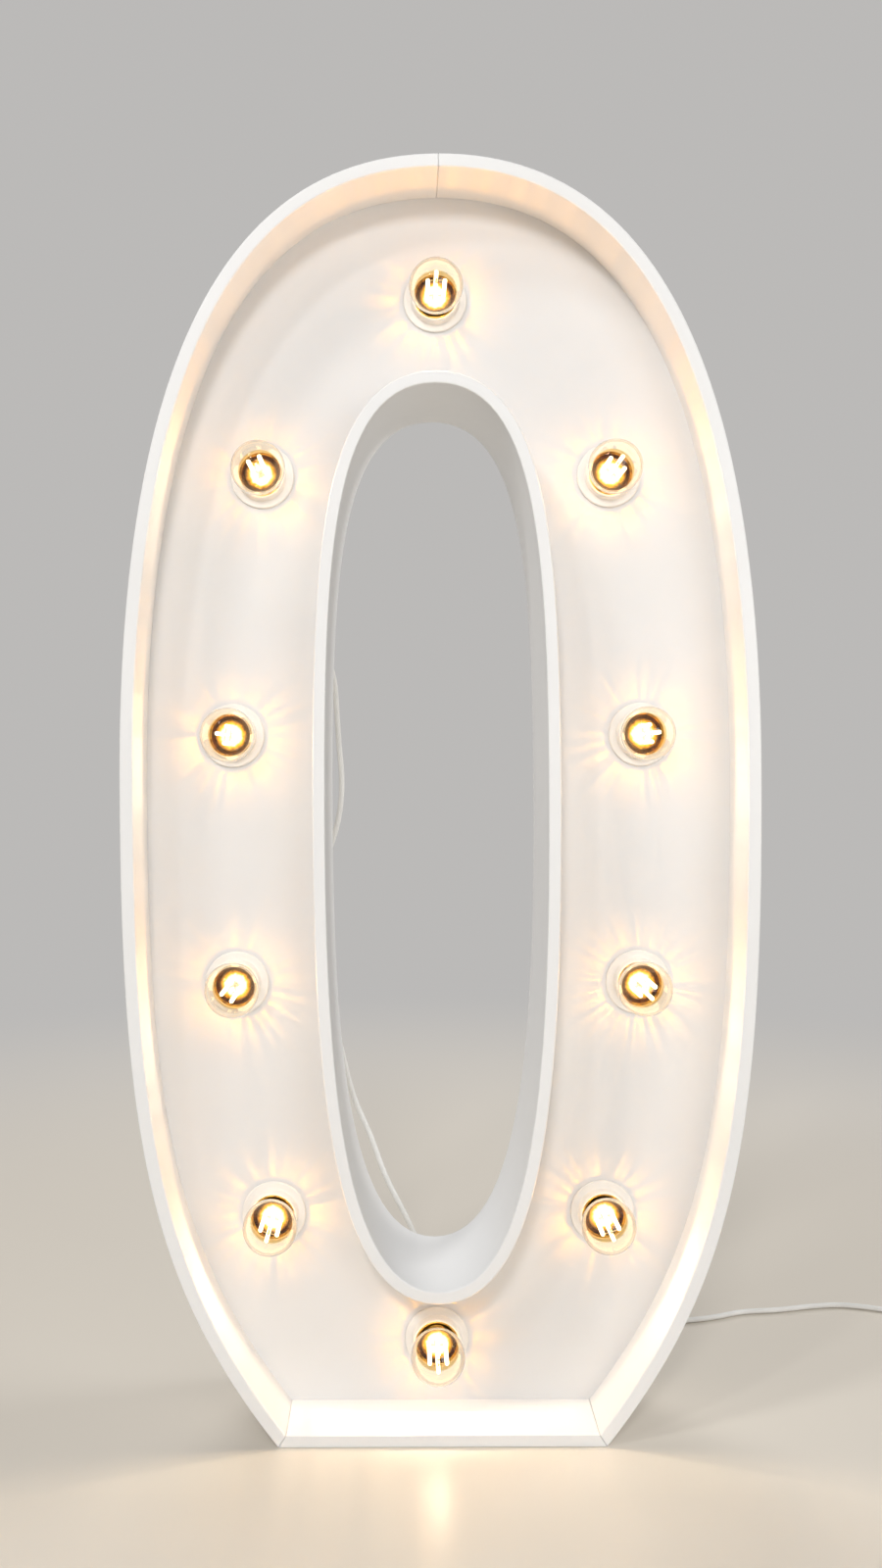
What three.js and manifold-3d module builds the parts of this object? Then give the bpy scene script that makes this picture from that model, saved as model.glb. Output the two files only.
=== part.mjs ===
// A free-standing marquee number: a big white "0" built as a shallow box of board. Board walls
// follow the outline of the figure and of its hole, a lamp panel between them carries ten
// screw-in filament bulbs, and a cover closes the wiring space at the back, where the supply
// cord comes out. Millimetres, +Z up, the front towards -Y, standing on z = 0.
import * as THREE from "three";
import { mergeVertices } from "three/addons/utils/BufferGeometryUtils.js";
import Module from "manifold-3d";

const wasm = await Module();
wasm.setup();

// The figure's outline, and its curve handles as shares of the half width and of the two heights
const figure = {
  height: 1200,
  width: 596,
  widestHeight: 622,
  footWidth: 306,
  depth: 150,
};
const figureHandleShare = { top: 0.742, upper: 0.583, lower: 0.53, foot: 0.3135 };
const footLeanDegrees = 51.7;

// The hole through the figure, a little left of the middle, under a crown of this height
const hole = {
  crownHeight: 213,
  bottom: 143.5,
  width: 208,
  widestHeight: 589,
  offset: -3.5,
};
const holeHandleShare = { top: 0.933, upper: 0.589, lower: 0.54, bottom: 0.861 };

// Board thicknesses and places
const board = { outerWall: 12.5, base: 11, innerWall: 11.5, panel: 6, cover: 4 };
const panelSetBack = 70;
const coverInset = 1;
const seamGap = 0.3;
const fitGap = 0.3;
const cutOverrun = 2;

// The lampholder: a wide ring in front of the panel, a skirt, and a cup behind the panel
const holder = {
  ringRadius: 31,
  ringThickness: 3,
  ringEdge: 0.8,
  skirtRadius: 23.8,
  skirtReach: 14,
  lipRadius: 22.2,
  lipRound: 1.2,
  mouthRadius: 19.6,
  throatStart: 3,
  cupRadius: 20,
  cupLength: 36,
  cupChamfer: 3,
};

// The bulb: screw cap, neck and globe, measured along its axis from the panel's front
const bulb = {
  capRadius: 13.2,
  capLength: 24,
  capShoulder: 2.5,
  capTaperRadius: 9,
  contactRadius: 4.5,
  contactReach: 1.5,
  neckRadius: 13,
  neckStart: 2.4,
  throatNeckRadius: 17.4,
  throatNeckReach: 14,
  upperNeckRadius: 18.6,
  upperNeckReach: 21,
  globeRadius: 26,
  globeCentre: 43,
  glassWall: 1,
};
const globeStartDegrees = 52;

// The filament assembly inside the glass
const filament = {
  stemFootRadius: 6,
  stemFootLength: 8,
  stemRadius: 2,
  stemEnd: 62,
  stickCount: 4,
  stickRing: 8,
  stickRadius: 1.1,
  stickStart: 16,
  stickEnd: 57,
  armWidth: 1,
};

// How far each bulb's filament is turned, from the top bulb clockwise
const filamentTurnDegrees = [0, 37, 83, 60, 72, 0, 16, 81, 8, 20];

// The supply cord and what it passes
const cord = { diameter: 5.6 };
const gland = {
  fromHole: 20.5,
  aboveBlock: 23.9,
  flangeRadius: 9,
  flangeThickness: 2.5,
  elbowRadius: 6.5,
  standOff: 9,
  sleeveLength: 26,
  sleeveTopRadius: 5.6,
  sleeveEndRadius: 3.9,
  shankRadius: 6,
  nutRadius: 9,
  nutThickness: 4,
};
const elbowCrownShare = { radius: 0.5, rise: 0.8 };
const clip = { z: 455, width: 18, length: 10, wall: 1.6, axisHeight: 4.2, bore: 3.2, foot: 2.2 };
const block = { wallGap: 16, width: 34, height: 58, thickness: 24 };
const harness = { radius: 3.2 };
const harnessRiseShares = { leavesBlock: 0.18, reachesBacks: 0.57 };
const tailEntry = { offset: 6, reach: 7 };
const screw = { shankRadius: 1.7, length: 18, headRadius: 3.6, headThickness: 2, pilotGap: 0.3 };

// The coil of spare cord: it winds in, climbs half a turn and winds out again on top
const coil = {
  x: 577,
  behindRear: 101,
  innerRadius: 22.5,
  turnPitch: 7,
  layerRise: 6.6,
  turnsIn: 3,
  turnsOut: 2.75,
  stepsPerTurn: 24,
  sides: 6,
  leadLength: 8,
  leadOutLength: 14,
};
const plug = {
  width: 34,
  neckWidth: 13,
  bodyLength: 30,
  taperLength: 10,
  thickness: 15,
  reliefLength: 20,
  reliefRadius: 3.6,
  reliefRootRadius: 5,
  pinRadius: 2,
  pinLength: 19,
  pinSpacing: 19,
};

// Counts of facets, sides and steps
const outlineSteps = 18;
const holeSteps = 13;
const roundFacets = 12;
const smallFacets = 8;
const stemFacets = 6;
const stickFacets = 4;
const globeStops = 5;
const cordSides = 8;
const cordSteps = 80;
const harnessSides = 5;
const harnessSteps = 84;
const tailSteps = 12;
const mergeStep = 1e-3;
const axisSnap = 0.02;
const cordLie = 0.05;

// Y of the front edges: the gland stands out behind the cover, and the object is centred front to back
const glandReach = gland.standOff + gland.sleeveTopRadius;
const frontY = -(figure.depth + glandReach) / 2;
const panelY = frontY + panelSetBack;
const coverY = frontY + figure.depth - board.cover;
const rearY = frontY + figure.depth;
const wallDepth = figure.depth - board.cover - fitGap;
const holeTop = figure.height - hole.crownHeight;
const holeLeft = hole.offset - hole.width / 2;
const exitX = holeLeft - gland.fromHole;

const paint = new THREE.MeshStandardMaterial({ color: 0xf0efec, roughness: 0.32, metalness: 0 });
const panelPaint = new THREE.MeshStandardMaterial({ color: 0xf2f0ec, roughness: 0.4, metalness: 0 });
const hardboard = new THREE.MeshStandardMaterial({ color: 0xe6e4df, roughness: 0.7, metalness: 0 });
const whitePlastic = new THREE.MeshStandardMaterial({ color: 0xf3f1ea, roughness: 0.35, metalness: 0 });
const capMetal = new THREE.MeshStandardMaterial({ color: 0xb9a06a, roughness: 0.35, metalness: 1 });
const amberGlass = new THREE.MeshStandardMaterial({
  color: 0xe8b050,
  roughness: 0.05,
  transparent: true,
  opacity: 0.35,
});
const glowing = new THREE.MeshStandardMaterial({ color: 0xffd98a, emissive: 0xffd080, roughness: 0.5 });
const steel = new THREE.MeshStandardMaterial({ color: 0xc4c6c8, roughness: 0.35, metalness: 1 });
const cordPlastic = new THREE.MeshStandardMaterial({ color: 0xf1efe9, roughness: 0.45, metalness: 0 });

const number = new THREE.Group();

function place(name, geometry, material, parent = number) {
  const mesh = new THREE.Mesh(geometry, material);
  mesh.name = name;
  parent.add(mesh);
  return mesh;
}

// A geometry as a solid for joining and cutting, and back
function solidOf(geometry) {
  const loose = geometry.index ? geometry.toNonIndexed() : geometry;
  const bare = new THREE.BufferGeometry().setAttribute("position", loose.getAttribute("position"));
  const merged = mergeVertices(bare, mergeStep);
  const corners = Array.from(merged.index.array);
  const kept = [];
  for (let i = 0; i < corners.length; i += 3) {
    const face = corners.slice(i, i + 3);
    if (new Set(face).size === face.length) kept.push(...face);
  }
  const vertProperties = merged.attributes.position.array;
  return new wasm.Manifold(new wasm.Mesh({ numProp: 3, vertProperties, triVerts: new Uint32Array(kept) }));
}

function geometryOf(solid) {
  const mesh = solid.getMesh();
  return new THREE.BufferGeometry()
    .setAttribute("position", new THREE.BufferAttribute(mesh.vertProperties, 3))
    .setIndex(new THREE.BufferAttribute(mesh.triVerts, 1));
}

function joined(...geometries) {
  return geometryOf(geometries.map(solidOf).reduce((whole, next) => whole.add(next)));
}

function cutFrom(geometry, cutters) {
  return geometryOf(cutters.map(solidOf).reduce((rest, cutter) => rest.subtract(cutter), solidOf(geometry)));
}

// Outlines: each half runs from its top (0) past its widest place (1) to its bottom (2)
const point = (x, z) => new THREE.Vector2(x, z);

function figureHalf() {
  const side = figure.width / 2;
  const foot = figure.footWidth / 2;
  const above = figure.height - figure.widestHeight;
  const lean = THREE.MathUtils.degToRad(footLeanDegrees);
  const footHandle = figure.widestHeight * figureHandleShare.foot;
  const widest = point(side, figure.widestHeight);
  return [
    new THREE.CubicBezierCurve(
      point(0, figure.height),
      point(side * figureHandleShare.top, figure.height),
      point(side, figure.widestHeight + above * figureHandleShare.upper),
      widest,
    ),
    new THREE.CubicBezierCurve(
      widest,
      point(side, figure.widestHeight * (1 - figureHandleShare.lower)),
      point(foot + footHandle * Math.cos(lean), footHandle * Math.sin(lean)),
      point(foot, 0),
    ),
  ];
}

function holeHalf() {
  const side = hole.width / 2;
  const above = holeTop - hole.widestHeight;
  const below = hole.widestHeight - hole.bottom;
  const widest = point(side, hole.widestHeight);
  return [
    new THREE.CubicBezierCurve(
      point(0, holeTop),
      point(side * holeHandleShare.top, holeTop),
      point(side, hole.widestHeight + above * holeHandleShare.upper),
      widest,
    ),
    new THREE.CubicBezierCurve(
      widest,
      point(side, hole.widestHeight - below * holeHandleShare.lower),
      point(side * holeHandleShare.bottom, hole.bottom),
      point(0, hole.bottom),
    ),
  ];
}

// The point at u on a half outline, moved outwards by a distance
function pointAt(half, u, outwards) {
  const part = Math.min(Math.floor(u), half.length - 1);
  const spot = half[part].getPoint(u - part);
  const along = half[part].getTangent(u - part);
  return point(spot.x - along.y * outwards, spot.y + along.x * outwards);
}

function halfPoints(half, steps, outwards) {
  const count = half.length * steps;
  const points = Array.from({ length: count + 1 }, (_, i) => pointAt(half, i / steps, outwards));
  points.filter((p) => Math.abs(p.x) < axisSnap).forEach((p) => p.setX(0));
  return points;
}

// The stretch of a falling outline that lies above a height, ended exactly on it
function above(points, height) {
  const kept = points.filter((p) => p.y > height);
  const next = points[kept.length];
  const last = kept[kept.length - 1];
  if (next) kept.push(last.clone().lerp(next, (last.y - height) / (last.y - next.y)));
  return kept;
}

const mirrored = (points) => points.map((p) => point(-p.x, p.y));
const moved = (points, x) => points.map((p) => point(p.x + x, p.y));

// A closed outline from its right half
function wholeOutline(rightHalf) {
  const left = mirrored(rightHalf).reverse();
  const overlapsTop = rightHalf[0].x === 0;
  const overlapsBottom = rightHalf[rightHalf.length - 1].x === 0;
  return [...rightHalf, ...left.slice(overlapsBottom ? 1 : 0, overlapsTop ? -1 : undefined)];
}

const figureCurves = figureHalf();
const holeCurves = holeHalf();

function figureOutline(inset, floor) {
  return wholeOutline(above(halfPoints(figureCurves, outlineSteps, -inset), floor));
}

function holeOutline(outwards) {
  return moved(wholeOutline(halfPoints(holeCurves, holeSteps, outwards)), hole.offset);
}

// A circle whose corners lie at the same angles as those of a turned piece
function circle(centre, radius, facets) {
  return Array.from({ length: facets }, (_, i) => {
    const angle = (i / facets) * 2 * Math.PI;
    return point(centre.x + radius * Math.sin(angle), centre.y + radius * Math.cos(angle));
  });
}

// A flat board cut to an outline in X and Z, with its front face at y = front
function cutBoard(outline, holes, front, thickness) {
  const anticlockwise = THREE.ShapeUtils.isClockWise(outline) ? [...outline].reverse() : outline;
  const shape = new THREE.Shape(anticlockwise);
  shape.holes = holes.map((edge) => new THREE.Path(edge));
  const slab = new THREE.ExtrudeGeometry(shape, { depth: thickness, bevelEnabled: false });
  return slab.rotateX(Math.PI / 2).translate(0, front + thickness, 0);
}

// Turned about the Y axis from [radius, y] pairs
function turned(profile, facets) {
  return new THREE.LatheGeometry(
    profile.map(([radius, y]) => point(radius, y)),
    facets,
  );
}

// Where the bulbs sit: a place along each outline, and a share of the way from the hole to the wall
const bulbSpotShares = [
  { side: 0, figureShare: 0, holeShare: 0, acrossShare: 0.465 },
  { side: 1, figureShare: 0.644, holeShare: 0.457, acrossShare: 0.467 },
  { side: 1, figureShare: 0.959, holeShare: 0.895, acrossShare: 0.496 },
  { side: 1, figureShare: 1.241, holeShare: 1.239, acrossShare: 0.498 },
  { side: 1, figureShare: 1.649, holeShare: 1.618, acrossShare: 0.503 },
];
const bottomBulbShare = 0.5;

function bulbSpot({ side, figureShare, holeShare, acrossShare }) {
  const wall = pointAt(figureCurves, figureShare, -board.outerWall);
  const rim = pointAt(holeCurves, holeShare, board.innerWall);
  const spot = rim.lerp(wall, acrossShare);
  return point(spot.x * side + hole.offset * (1 - acrossShare), spot.y);
}

function bulbSpots() {
  const rightSide = bulbSpotShares.filter((spot) => spot.side).map(bulbSpot);
  const leftSide = bulbSpotShares
    .filter((spot) => spot.side)
    .map((spot) => bulbSpot({ ...spot, side: -1 }))
    .reverse();
  const bottomHeight = THREE.MathUtils.lerp(hole.bottom - board.innerWall, board.base, bottomBulbShare);
  const bottom = point(hole.offset, bottomHeight);
  return [bulbSpot(bulbSpotShares[0]), ...rightSide, bottom, ...leftSide];
}

const spots = bulbSpots();

// The block sits between the two upper left bulbs, and the cord leaves a little above its middle
const [middleLeft, upperLeft] = spots.slice(-2);
const blockSpot = point(
  holeLeft - board.innerWall - block.wallGap - block.width / 2,
  (middleLeft.y + upperLeft.y) / 2,
);
const exitZ = blockSpot.y + gland.aboveBlock;

// Screws through the cover, into the rear edges of the walls
const outerScrewShares = [0.35, 1.02, 1.62];

function screwSpots() {
  const right = outerScrewShares.map((u) => pointAt(figureCurves, u, -board.outerWall / 2));
  return [...right, ...mirrored(right)];
}

function screwHole(spot) {
  const radius = screw.shankRadius + screw.pilotGap;
  const reach = screw.length + cutOverrun;
  const hollow = new THREE.CylinderGeometry(radius, radius, reach + cutOverrun, smallFacets);
  return hollow.translate(spot.x, rearY - reach / 2 + cutOverrun / 2, spot.y);
}

function wallHalf(side) {
  const outside = halfPoints(figureCurves, outlineSteps, 0);
  const inside = above(halfPoints(figureCurves, outlineSteps, -board.outerWall), board.base);
  outside[0].x += seamGap / 2;
  inside[0].x += seamGap / 2;
  const right = [...outside, ...inside.reverse()];
  const wall = cutBoard(side > 0 ? right : mirrored(right), [], frontY, wallDepth);
  const holes = screwSpots().filter((spot) => spot.x * side > 0);
  return cutFrom(wall, holes.map(screwHole));
}

function buildCase() {
  place("outer_wall_right", wallHalf(1), paint);
  place("outer_wall_left", wallHalf(-1), paint);

  const innerCorner = above(halfPoints(figureCurves, outlineSteps, -board.outerWall), board.base).pop();
  const foot = figure.footWidth / 2 - seamGap * 2;
  const baseHalf = [point(innerCorner.x - seamGap * 2, board.base), point(foot, 0)];
  const base = cutBoard(wholeOutline(baseHalf), [], frontY, wallDepth);
  place("base_board", base, paint);

  const ring = holeOutline(board.innerWall);
  const inner = cutBoard(ring, [holeOutline(0)], frontY, wallDepth);
  place("inner_wall", inner, paint);
}

function buildPanel() {
  const edge = figureOutline(board.outerWall + fitGap, board.base + fitGap);
  const lampHoles = spots.map((spot) => circle(spot, holder.cupRadius + fitGap, roundFacets));
  const rim = holeOutline(board.innerWall + fitGap);
  place("lamp_panel", cutBoard(edge, [rim, ...lampHoles], panelY, board.panel), panelPaint);
}

function buildCover() {
  const edge = figureOutline(coverInset, coverInset);
  const glandHole = circle(point(exitX, exitZ), gland.shankRadius + fitGap, roundFacets);
  const cover = cutBoard(edge, [holeOutline(coverInset), glandHole], coverY, board.cover);
  place("rear_cover", cutFrom(cover, screwSpots().map(screwHole)), hardboard);

  screwSpots().forEach((spot, i) => {
    const profile = [
      [0, -screw.length],
      [screw.shankRadius, -screw.length],
      [screw.shankRadius, fitGap],
      [screw.headRadius, fitGap],
      [screw.headRadius, screw.headThickness],
      [0, screw.headThickness],
    ];
    const body = turned(profile, smallFacets);
    place("cover_screw_" + String(i + 1).padStart(2, "0"), body, steel).position.set(spot.x, rearY, spot.y);
  });
}

// The lampholder, turned about the bulb's axis: y = 0 is the panel's front face, -y is the front
function holderShape() {
  const ringFront = -fitGap - holder.ringThickness;
  const throat = bulb.capRadius + fitGap;
  const floor = bulb.capLength + bulb.contactReach + fitGap;
  const profile = [
    [0, floor],
    [throat, floor],
    [throat, holder.throatStart],
    [holder.mouthRadius, -holder.skirtReach + holder.lipRound],
    [holder.lipRadius, -holder.skirtReach],
    [holder.skirtRadius - holder.ringEdge, -holder.skirtReach + holder.lipRound],
    [holder.skirtRadius, ringFront],
    [holder.ringRadius - holder.ringEdge, ringFront],
    [holder.ringRadius, ringFront + holder.ringEdge],
    [holder.ringRadius, -fitGap],
    [holder.cupRadius, -fitGap],
    [holder.cupRadius, holder.cupLength - holder.cupChamfer],
    [holder.cupRadius - holder.cupChamfer, holder.cupLength],
    [0, holder.cupLength],
  ];
  return turned(profile, roundFacets);
}

function capShape() {
  const end = bulb.capLength;
  const profile = [
    [0, -bulb.neckStart + fitGap],
    [bulb.capRadius, -bulb.neckStart + fitGap],
    [bulb.capRadius, end - bulb.capShoulder],
    [bulb.capTaperRadius, end],
    [bulb.contactRadius, end + bulb.contactReach],
    [0, end + bulb.contactReach],
  ];
  return turned(profile, roundFacets);
}

// The glass is an open-necked shell: outside from neck to pole, then inside back to the neck
function glassShape() {
  const outside = [
    [bulb.neckRadius, -bulb.neckStart],
    [bulb.throatNeckRadius, -bulb.throatNeckReach],
    [bulb.upperNeckRadius, -bulb.upperNeckReach],
  ];
  const start = THREE.MathUtils.degToRad(globeStartDegrees);
  for (let i = 0; i <= globeStops; i += 1) {
    const angle = THREE.MathUtils.lerp(start, Math.PI, i / globeStops);
    const y = -bulb.globeCentre + bulb.globeRadius * Math.cos(angle);
    outside.push([i === globeStops ? 0 : bulb.globeRadius * Math.sin(angle), y]);
  }
  const last = outside.length - 1;
  const inside = outside.map(([radius, y], i) => {
    if (i === 0) return [radius - bulb.glassWall, y];
    if (i === last) return [0, y + bulb.glassWall];
    const outwards = Math.max(0, -(y + bulb.globeCentre) / bulb.globeRadius);
    return [radius - bulb.glassWall, y + bulb.glassWall * outwards];
  });
  return turned([...outside.reverse(), ...inside], roundFacets);
}

function filamentShape() {
  const foot = -bulb.neckStart;
  const stem = turned(
    [
      [0, -filament.stemEnd],
      [filament.stemRadius / 2, -filament.stemEnd],
      [filament.stemRadius, foot - filament.stemFootLength],
      [filament.stemFootRadius, foot],
      [0, foot],
    ],
    stemFacets,
  );
  const length = filament.stickEnd - filament.stickStart;
  const middle = -(filament.stickStart + filament.stickEnd) / 2;
  const parts = [stem];
  for (let i = 0; i < filament.stickCount; i += 1) {
    const angle = (i / filament.stickCount) * 2 * Math.PI;
    const x = filament.stickRing * Math.sin(angle);
    const z = filament.stickRing * Math.cos(angle);
    const stick = new THREE.CylinderGeometry(filament.stickRadius, filament.stickRadius, length, stickFacets);
    parts.push(stick.translate(x, middle, z));
  }
  const span = filament.stickRing * 2;
  for (const y of [-filament.stickStart - filament.armWidth, -filament.stickEnd + filament.armWidth]) {
    for (const turn of [0, 1]) {
      const arm = new THREE.BoxGeometry(span, filament.armWidth, filament.armWidth);
      parts.push(arm.rotateY((turn * Math.PI) / 2).translate(0, y, 0));
    }
  }
  return joined(...parts);
}

function buildLamps() {
  const shapes = {
    lampholder: [holderShape(), whitePlastic],
    bulb_cap: [capShape(), capMetal],
    bulb_glass: [glassShape(), amberGlass],
    bulb_filament: [filamentShape(), glowing],
  };
  spots.forEach((spot, i) => {
    const lamp = new THREE.Group();
    lamp.position.set(spot.x, panelY, spot.y);
    for (const [name, [geometry, material]] of Object.entries(shapes)) {
      place(name + "_" + String(i + 1).padStart(2, "0"), geometry, material, lamp);
    }
    const filamentPiece = lamp.children[lamp.children.length - 1];
    filamentPiece.rotation.y = THREE.MathUtils.degToRad(filamentTurnDegrees[i]);
    number.add(lamp);
  });
}

// A round tube along a curve, with flat ends square to it
function tube(curve, radius, sides, steps) {
  const section = new THREE.Shape(circle(point(0, 0), radius, sides));
  return new THREE.ExtrudeGeometry(section, { steps, extrudePath: curve, bevelEnabled: false });
}

const curveThrough = (points) =>
  new THREE.CatmullRomCurve3(points.map((p) => new THREE.Vector3(...p)), false, "centripetal");

// Inside: a terminal block behind the panel, a cable from holder to holder, and the supply tail
function buildWiring() {
  const blockFront = panelY + board.panel + fitGap;
  const blockMiddle = blockFront + block.thickness / 2;
  const body = new THREE.BoxGeometry(block.width, block.thickness, block.height);
  place("terminal_block", body.translate(blockSpot.x, blockMiddle, blockSpot.y), whitePlastic);

  const backOfCups = panelY + holder.cupLength + fitGap + harness.radius;
  const overCups = spots.map((spot) => [spot.x, backOfCups, spot.y]);
  const rise = (end, cupEdge) => {
    const [near, far] = [harnessRiseShares.leavesBlock, harnessRiseShares.reachesBacks];
    return [
      [blockSpot.x, blockMiddle, end],
      [blockSpot.x, blockMiddle, THREE.MathUtils.lerp(end, cupEdge, near)],
      [blockSpot.x, backOfCups, THREE.MathUtils.lerp(end, cupEdge, far)],
    ];
  };
  const reach = block.height / 2 + fitGap;
  const path = [
    ...rise(blockSpot.y + reach, upperLeft.y - holder.cupRadius),
    overCups[overCups.length - 1],
    ...overCups.slice(0, -1),
    ...rise(blockSpot.y - reach, middleLeft.y + holder.cupRadius).reverse(),
  ];
  place("wiring_harness", tube(curveThrough(path), harness.radius, harnessSides, harnessSteps), whitePlastic);

  const blockBack = blockFront + block.thickness + fitGap;
  const tailEnd = coverY - gland.nutThickness - fitGap * 2;
  const entryX = blockSpot.x + tailEntry.offset;
  const tail = curveThrough([
    [entryX, blockBack, blockSpot.y],
    [entryX, blockBack + tailEntry.reach, blockSpot.y],
    [exitX, tailEnd - tailEntry.reach, exitZ],
    [exitX, tailEnd, exitZ],
  ]);
  place("supply_tail", tube(tail, cord.diameter / 2, cordSides, tailSteps), cordPlastic);
}

// The angled strain relief: a shank and nut through the cover, a round elbow and a tapered sleeve
function buildGland() {
  const nutFront = -board.cover - fitGap - gland.nutThickness;
  const shank = turned(
    [
      [0, nutFront],
      [gland.nutRadius, nutFront],
      [gland.nutRadius, -board.cover - fitGap],
      [gland.shankRadius, -board.cover - fitGap],
      [gland.shankRadius, fitGap],
      [gland.flangeRadius, fitGap],
      [gland.flangeRadius, gland.flangeThickness],
      [gland.elbowRadius, gland.flangeThickness],
      [gland.elbowRadius, gland.standOff],
      [gland.elbowRadius * elbowCrownShare.radius, gland.standOff + gland.elbowRadius * elbowCrownShare.rise],
      [0, gland.standOff + gland.elbowRadius * elbowCrownShare.rise],
    ],
    roundFacets,
  );
  const sleeve = new THREE.CylinderGeometry(
    gland.sleeveTopRadius,
    gland.sleeveEndRadius,
    gland.sleeveLength,
    roundFacets,
  );
  sleeve.rotateX(Math.PI / 2);
  sleeve.translate(0, gland.standOff, -gland.sleeveLength / 2);
  place("cord_gland", joined(shank, sleeve), whitePlastic).position.set(exitX, rearY, exitZ);
}

// The clip: a low saddle on the cover with a bore for the cord
function buildClip() {
  const half = clip.width / 2;
  const hump = clip.bore + clip.wall;
  const outline = [point(-half, fitGap), point(half, fitGap), point(half, clip.foot)];
  for (let i = 0; i <= smallFacets; i += 1) {
    const angle = (i / smallFacets) * Math.PI;
    outline.push(point(hump * Math.cos(angle), clip.axisHeight + hump * Math.sin(angle)));
  }
  outline.push(point(-half, clip.foot));
  const shape = new THREE.Shape(outline);
  shape.holes = [new THREE.Path(circle(point(0, clip.axisHeight), clip.bore, roundFacets))];
  const saddle = new THREE.ExtrudeGeometry(shape, { depth: clip.length, bevelEnabled: false });
  place("cable_clip", saddle.translate(exitX, rearY, clip.z - clip.length / 2), whitePlastic);
}

// The free cord: it leaves the sleeve downwards, hangs behind the left stroke with some slack
// that shows in the hole, passes the clip, slants down behind the hole to the ground and lies
// along it to the coil. Points are chosen by hand.
const onGround = cord.diameter / 2 + cordLie;
const cordStart = [exitX, rearY + gland.standOff, exitZ - gland.sleeveLength - fitGap];
const clipY = rearY + clip.axisHeight;
const coilOuterRadius = coil.innerRadius + coil.turnPitch * coil.turnsIn;
const coilY = rearY + coil.behindRear;
const coilStart = [coil.x - coil.leadLength - fitGap, coilY + coilOuterRadius, onGround];

// From the sleeve to the clip: past the hole's left edge, behind the rear, share of the fall
const hangPastEdgeBehindRearFallShare = [
  [-15.5, 8, 0.0864],
  [-4.5, 7.5, 0.1394],
  [1.5, 7, 0.2049],
  [4, 7, 0.2984],
  [6.5, 7, 0.4169],
  [8.9, 7, 0.5104],
  [8.9, 7, 0.5666],
  [5, 7, 0.6601],
  [-3.5, 7, 0.7505],
  [-13.5, 6, 0.8441],
  [-19.5, 5, 0.9283],
];
// From the clip to the ground, given the same way
const slantPastEdgeBehindRearFallShare = [
  [-16.5, 5.5, 0.0679],
  [-7.5, 7, 0.1402],
  [3, 9, 0.2103],
  [20.5, 13, 0.3641],
  [38, 18, 0.4614],
  [52.5, 23, 0.5541],
  [77.5, 30, 0.674],
  [99.5, 37, 0.7916],
  [121.5, 44, 0.8979],
  [141.5, 50, 0.9612],
  [167.5, 57, 0.992],
  [199.5, 66, 0.9988],
  [247.5, 81, 0.9998],
];
// Along the ground: from the coil's middle, and past its rear edge
const groundFromCoilPastEdge = [
  [-372, -42.5],
  [-309, -26.5],
  [-261, -14.5],
  [-225, -0.5],
  [-181, 5.5],
  [-137, 15.5],
  [-107, 18.5],
  [-79, 12.5],
  [-55, 3.5],
  [-33, 1],
];

const hungBetween = (rows, from, to) =>
  rows.map(([x, y, fallShare]) => [holeLeft + x, rearY + y, THREE.MathUtils.lerp(from, to, fallShare)]);

const clipTop = clip.z + clip.length;
const clipBottom = clip.z - clip.length;
const cordRoute = [
  cordStart,
  [exitX, rearY + gland.standOff, cordStart[2] - cord.diameter],
  ...hungBetween(hangPastEdgeBehindRearFallShare, cordStart[2], clipTop),
  [exitX, clipY, clipTop],
  [exitX, clipY, clipBottom],
  ...hungBetween(slantPastEdgeBehindRearFallShare, clipBottom, onGround),
  ...groundFromCoilPastEdge.map(([x, y]) => [coil.x + x, coilStart[1] + y, onGround]),
  [coilStart[0] - cord.diameter, coilStart[1], onGround],
  coilStart,
];

function coilPoints() {
  const steps = coil.stepsPerTurn;
  const inSteps = coil.turnsIn * steps;
  const climbSteps = steps / 2;
  const outSteps = coil.turnsOut * steps;
  const points = [[coil.x - coil.leadLength, coilY + coilOuterRadius, onGround]];
  const add = (turn, radius, z) => {
    const angle = Math.PI / 2 - turn * 2 * Math.PI;
    points.push([coil.x + radius * Math.cos(angle), coilY + radius * Math.sin(angle), z]);
  };
  for (let i = 0; i < inSteps; i += 1) {
    add(i / steps, coilOuterRadius - (coil.turnPitch * i) / steps, onGround);
  }
  for (let i = 0; i < climbSteps; i += 1) {
    const rise = THREE.MathUtils.smoothstep(i / climbSteps, 0, 1);
    add(coil.turnsIn + i / steps, coil.innerRadius, onGround + coil.layerRise * rise);
  }
  const turnsBefore = coil.turnsIn + climbSteps / steps;
  for (let i = 0; i <= outSteps; i += 1) {
    add(turnsBefore + i / steps, coil.innerRadius + (coil.turnPitch * i) / steps, onGround + coil.layerRise);
  }
  return points.map((p) => new THREE.Vector3(...p));
}

// The coil ends square to its last chord, in a straight lead to the plug
const coilPath = coilPoints();
const [beforeLast, last] = coilPath.slice(-2);
const coilHeading = last.clone().sub(beforeLast).setZ(0).normalize();
const plugDrop = onGround + coil.layerRise - plug.thickness / 2;
const coilBend = last.clone().addScaledVector(coilHeading, coil.leadOutLength);
coilBend.z -= plugDrop;
const coilEnd = coilBend.clone().addScaledVector(coilHeading, coil.leadLength);
coilPath.push(coilBend, coilEnd);

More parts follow.
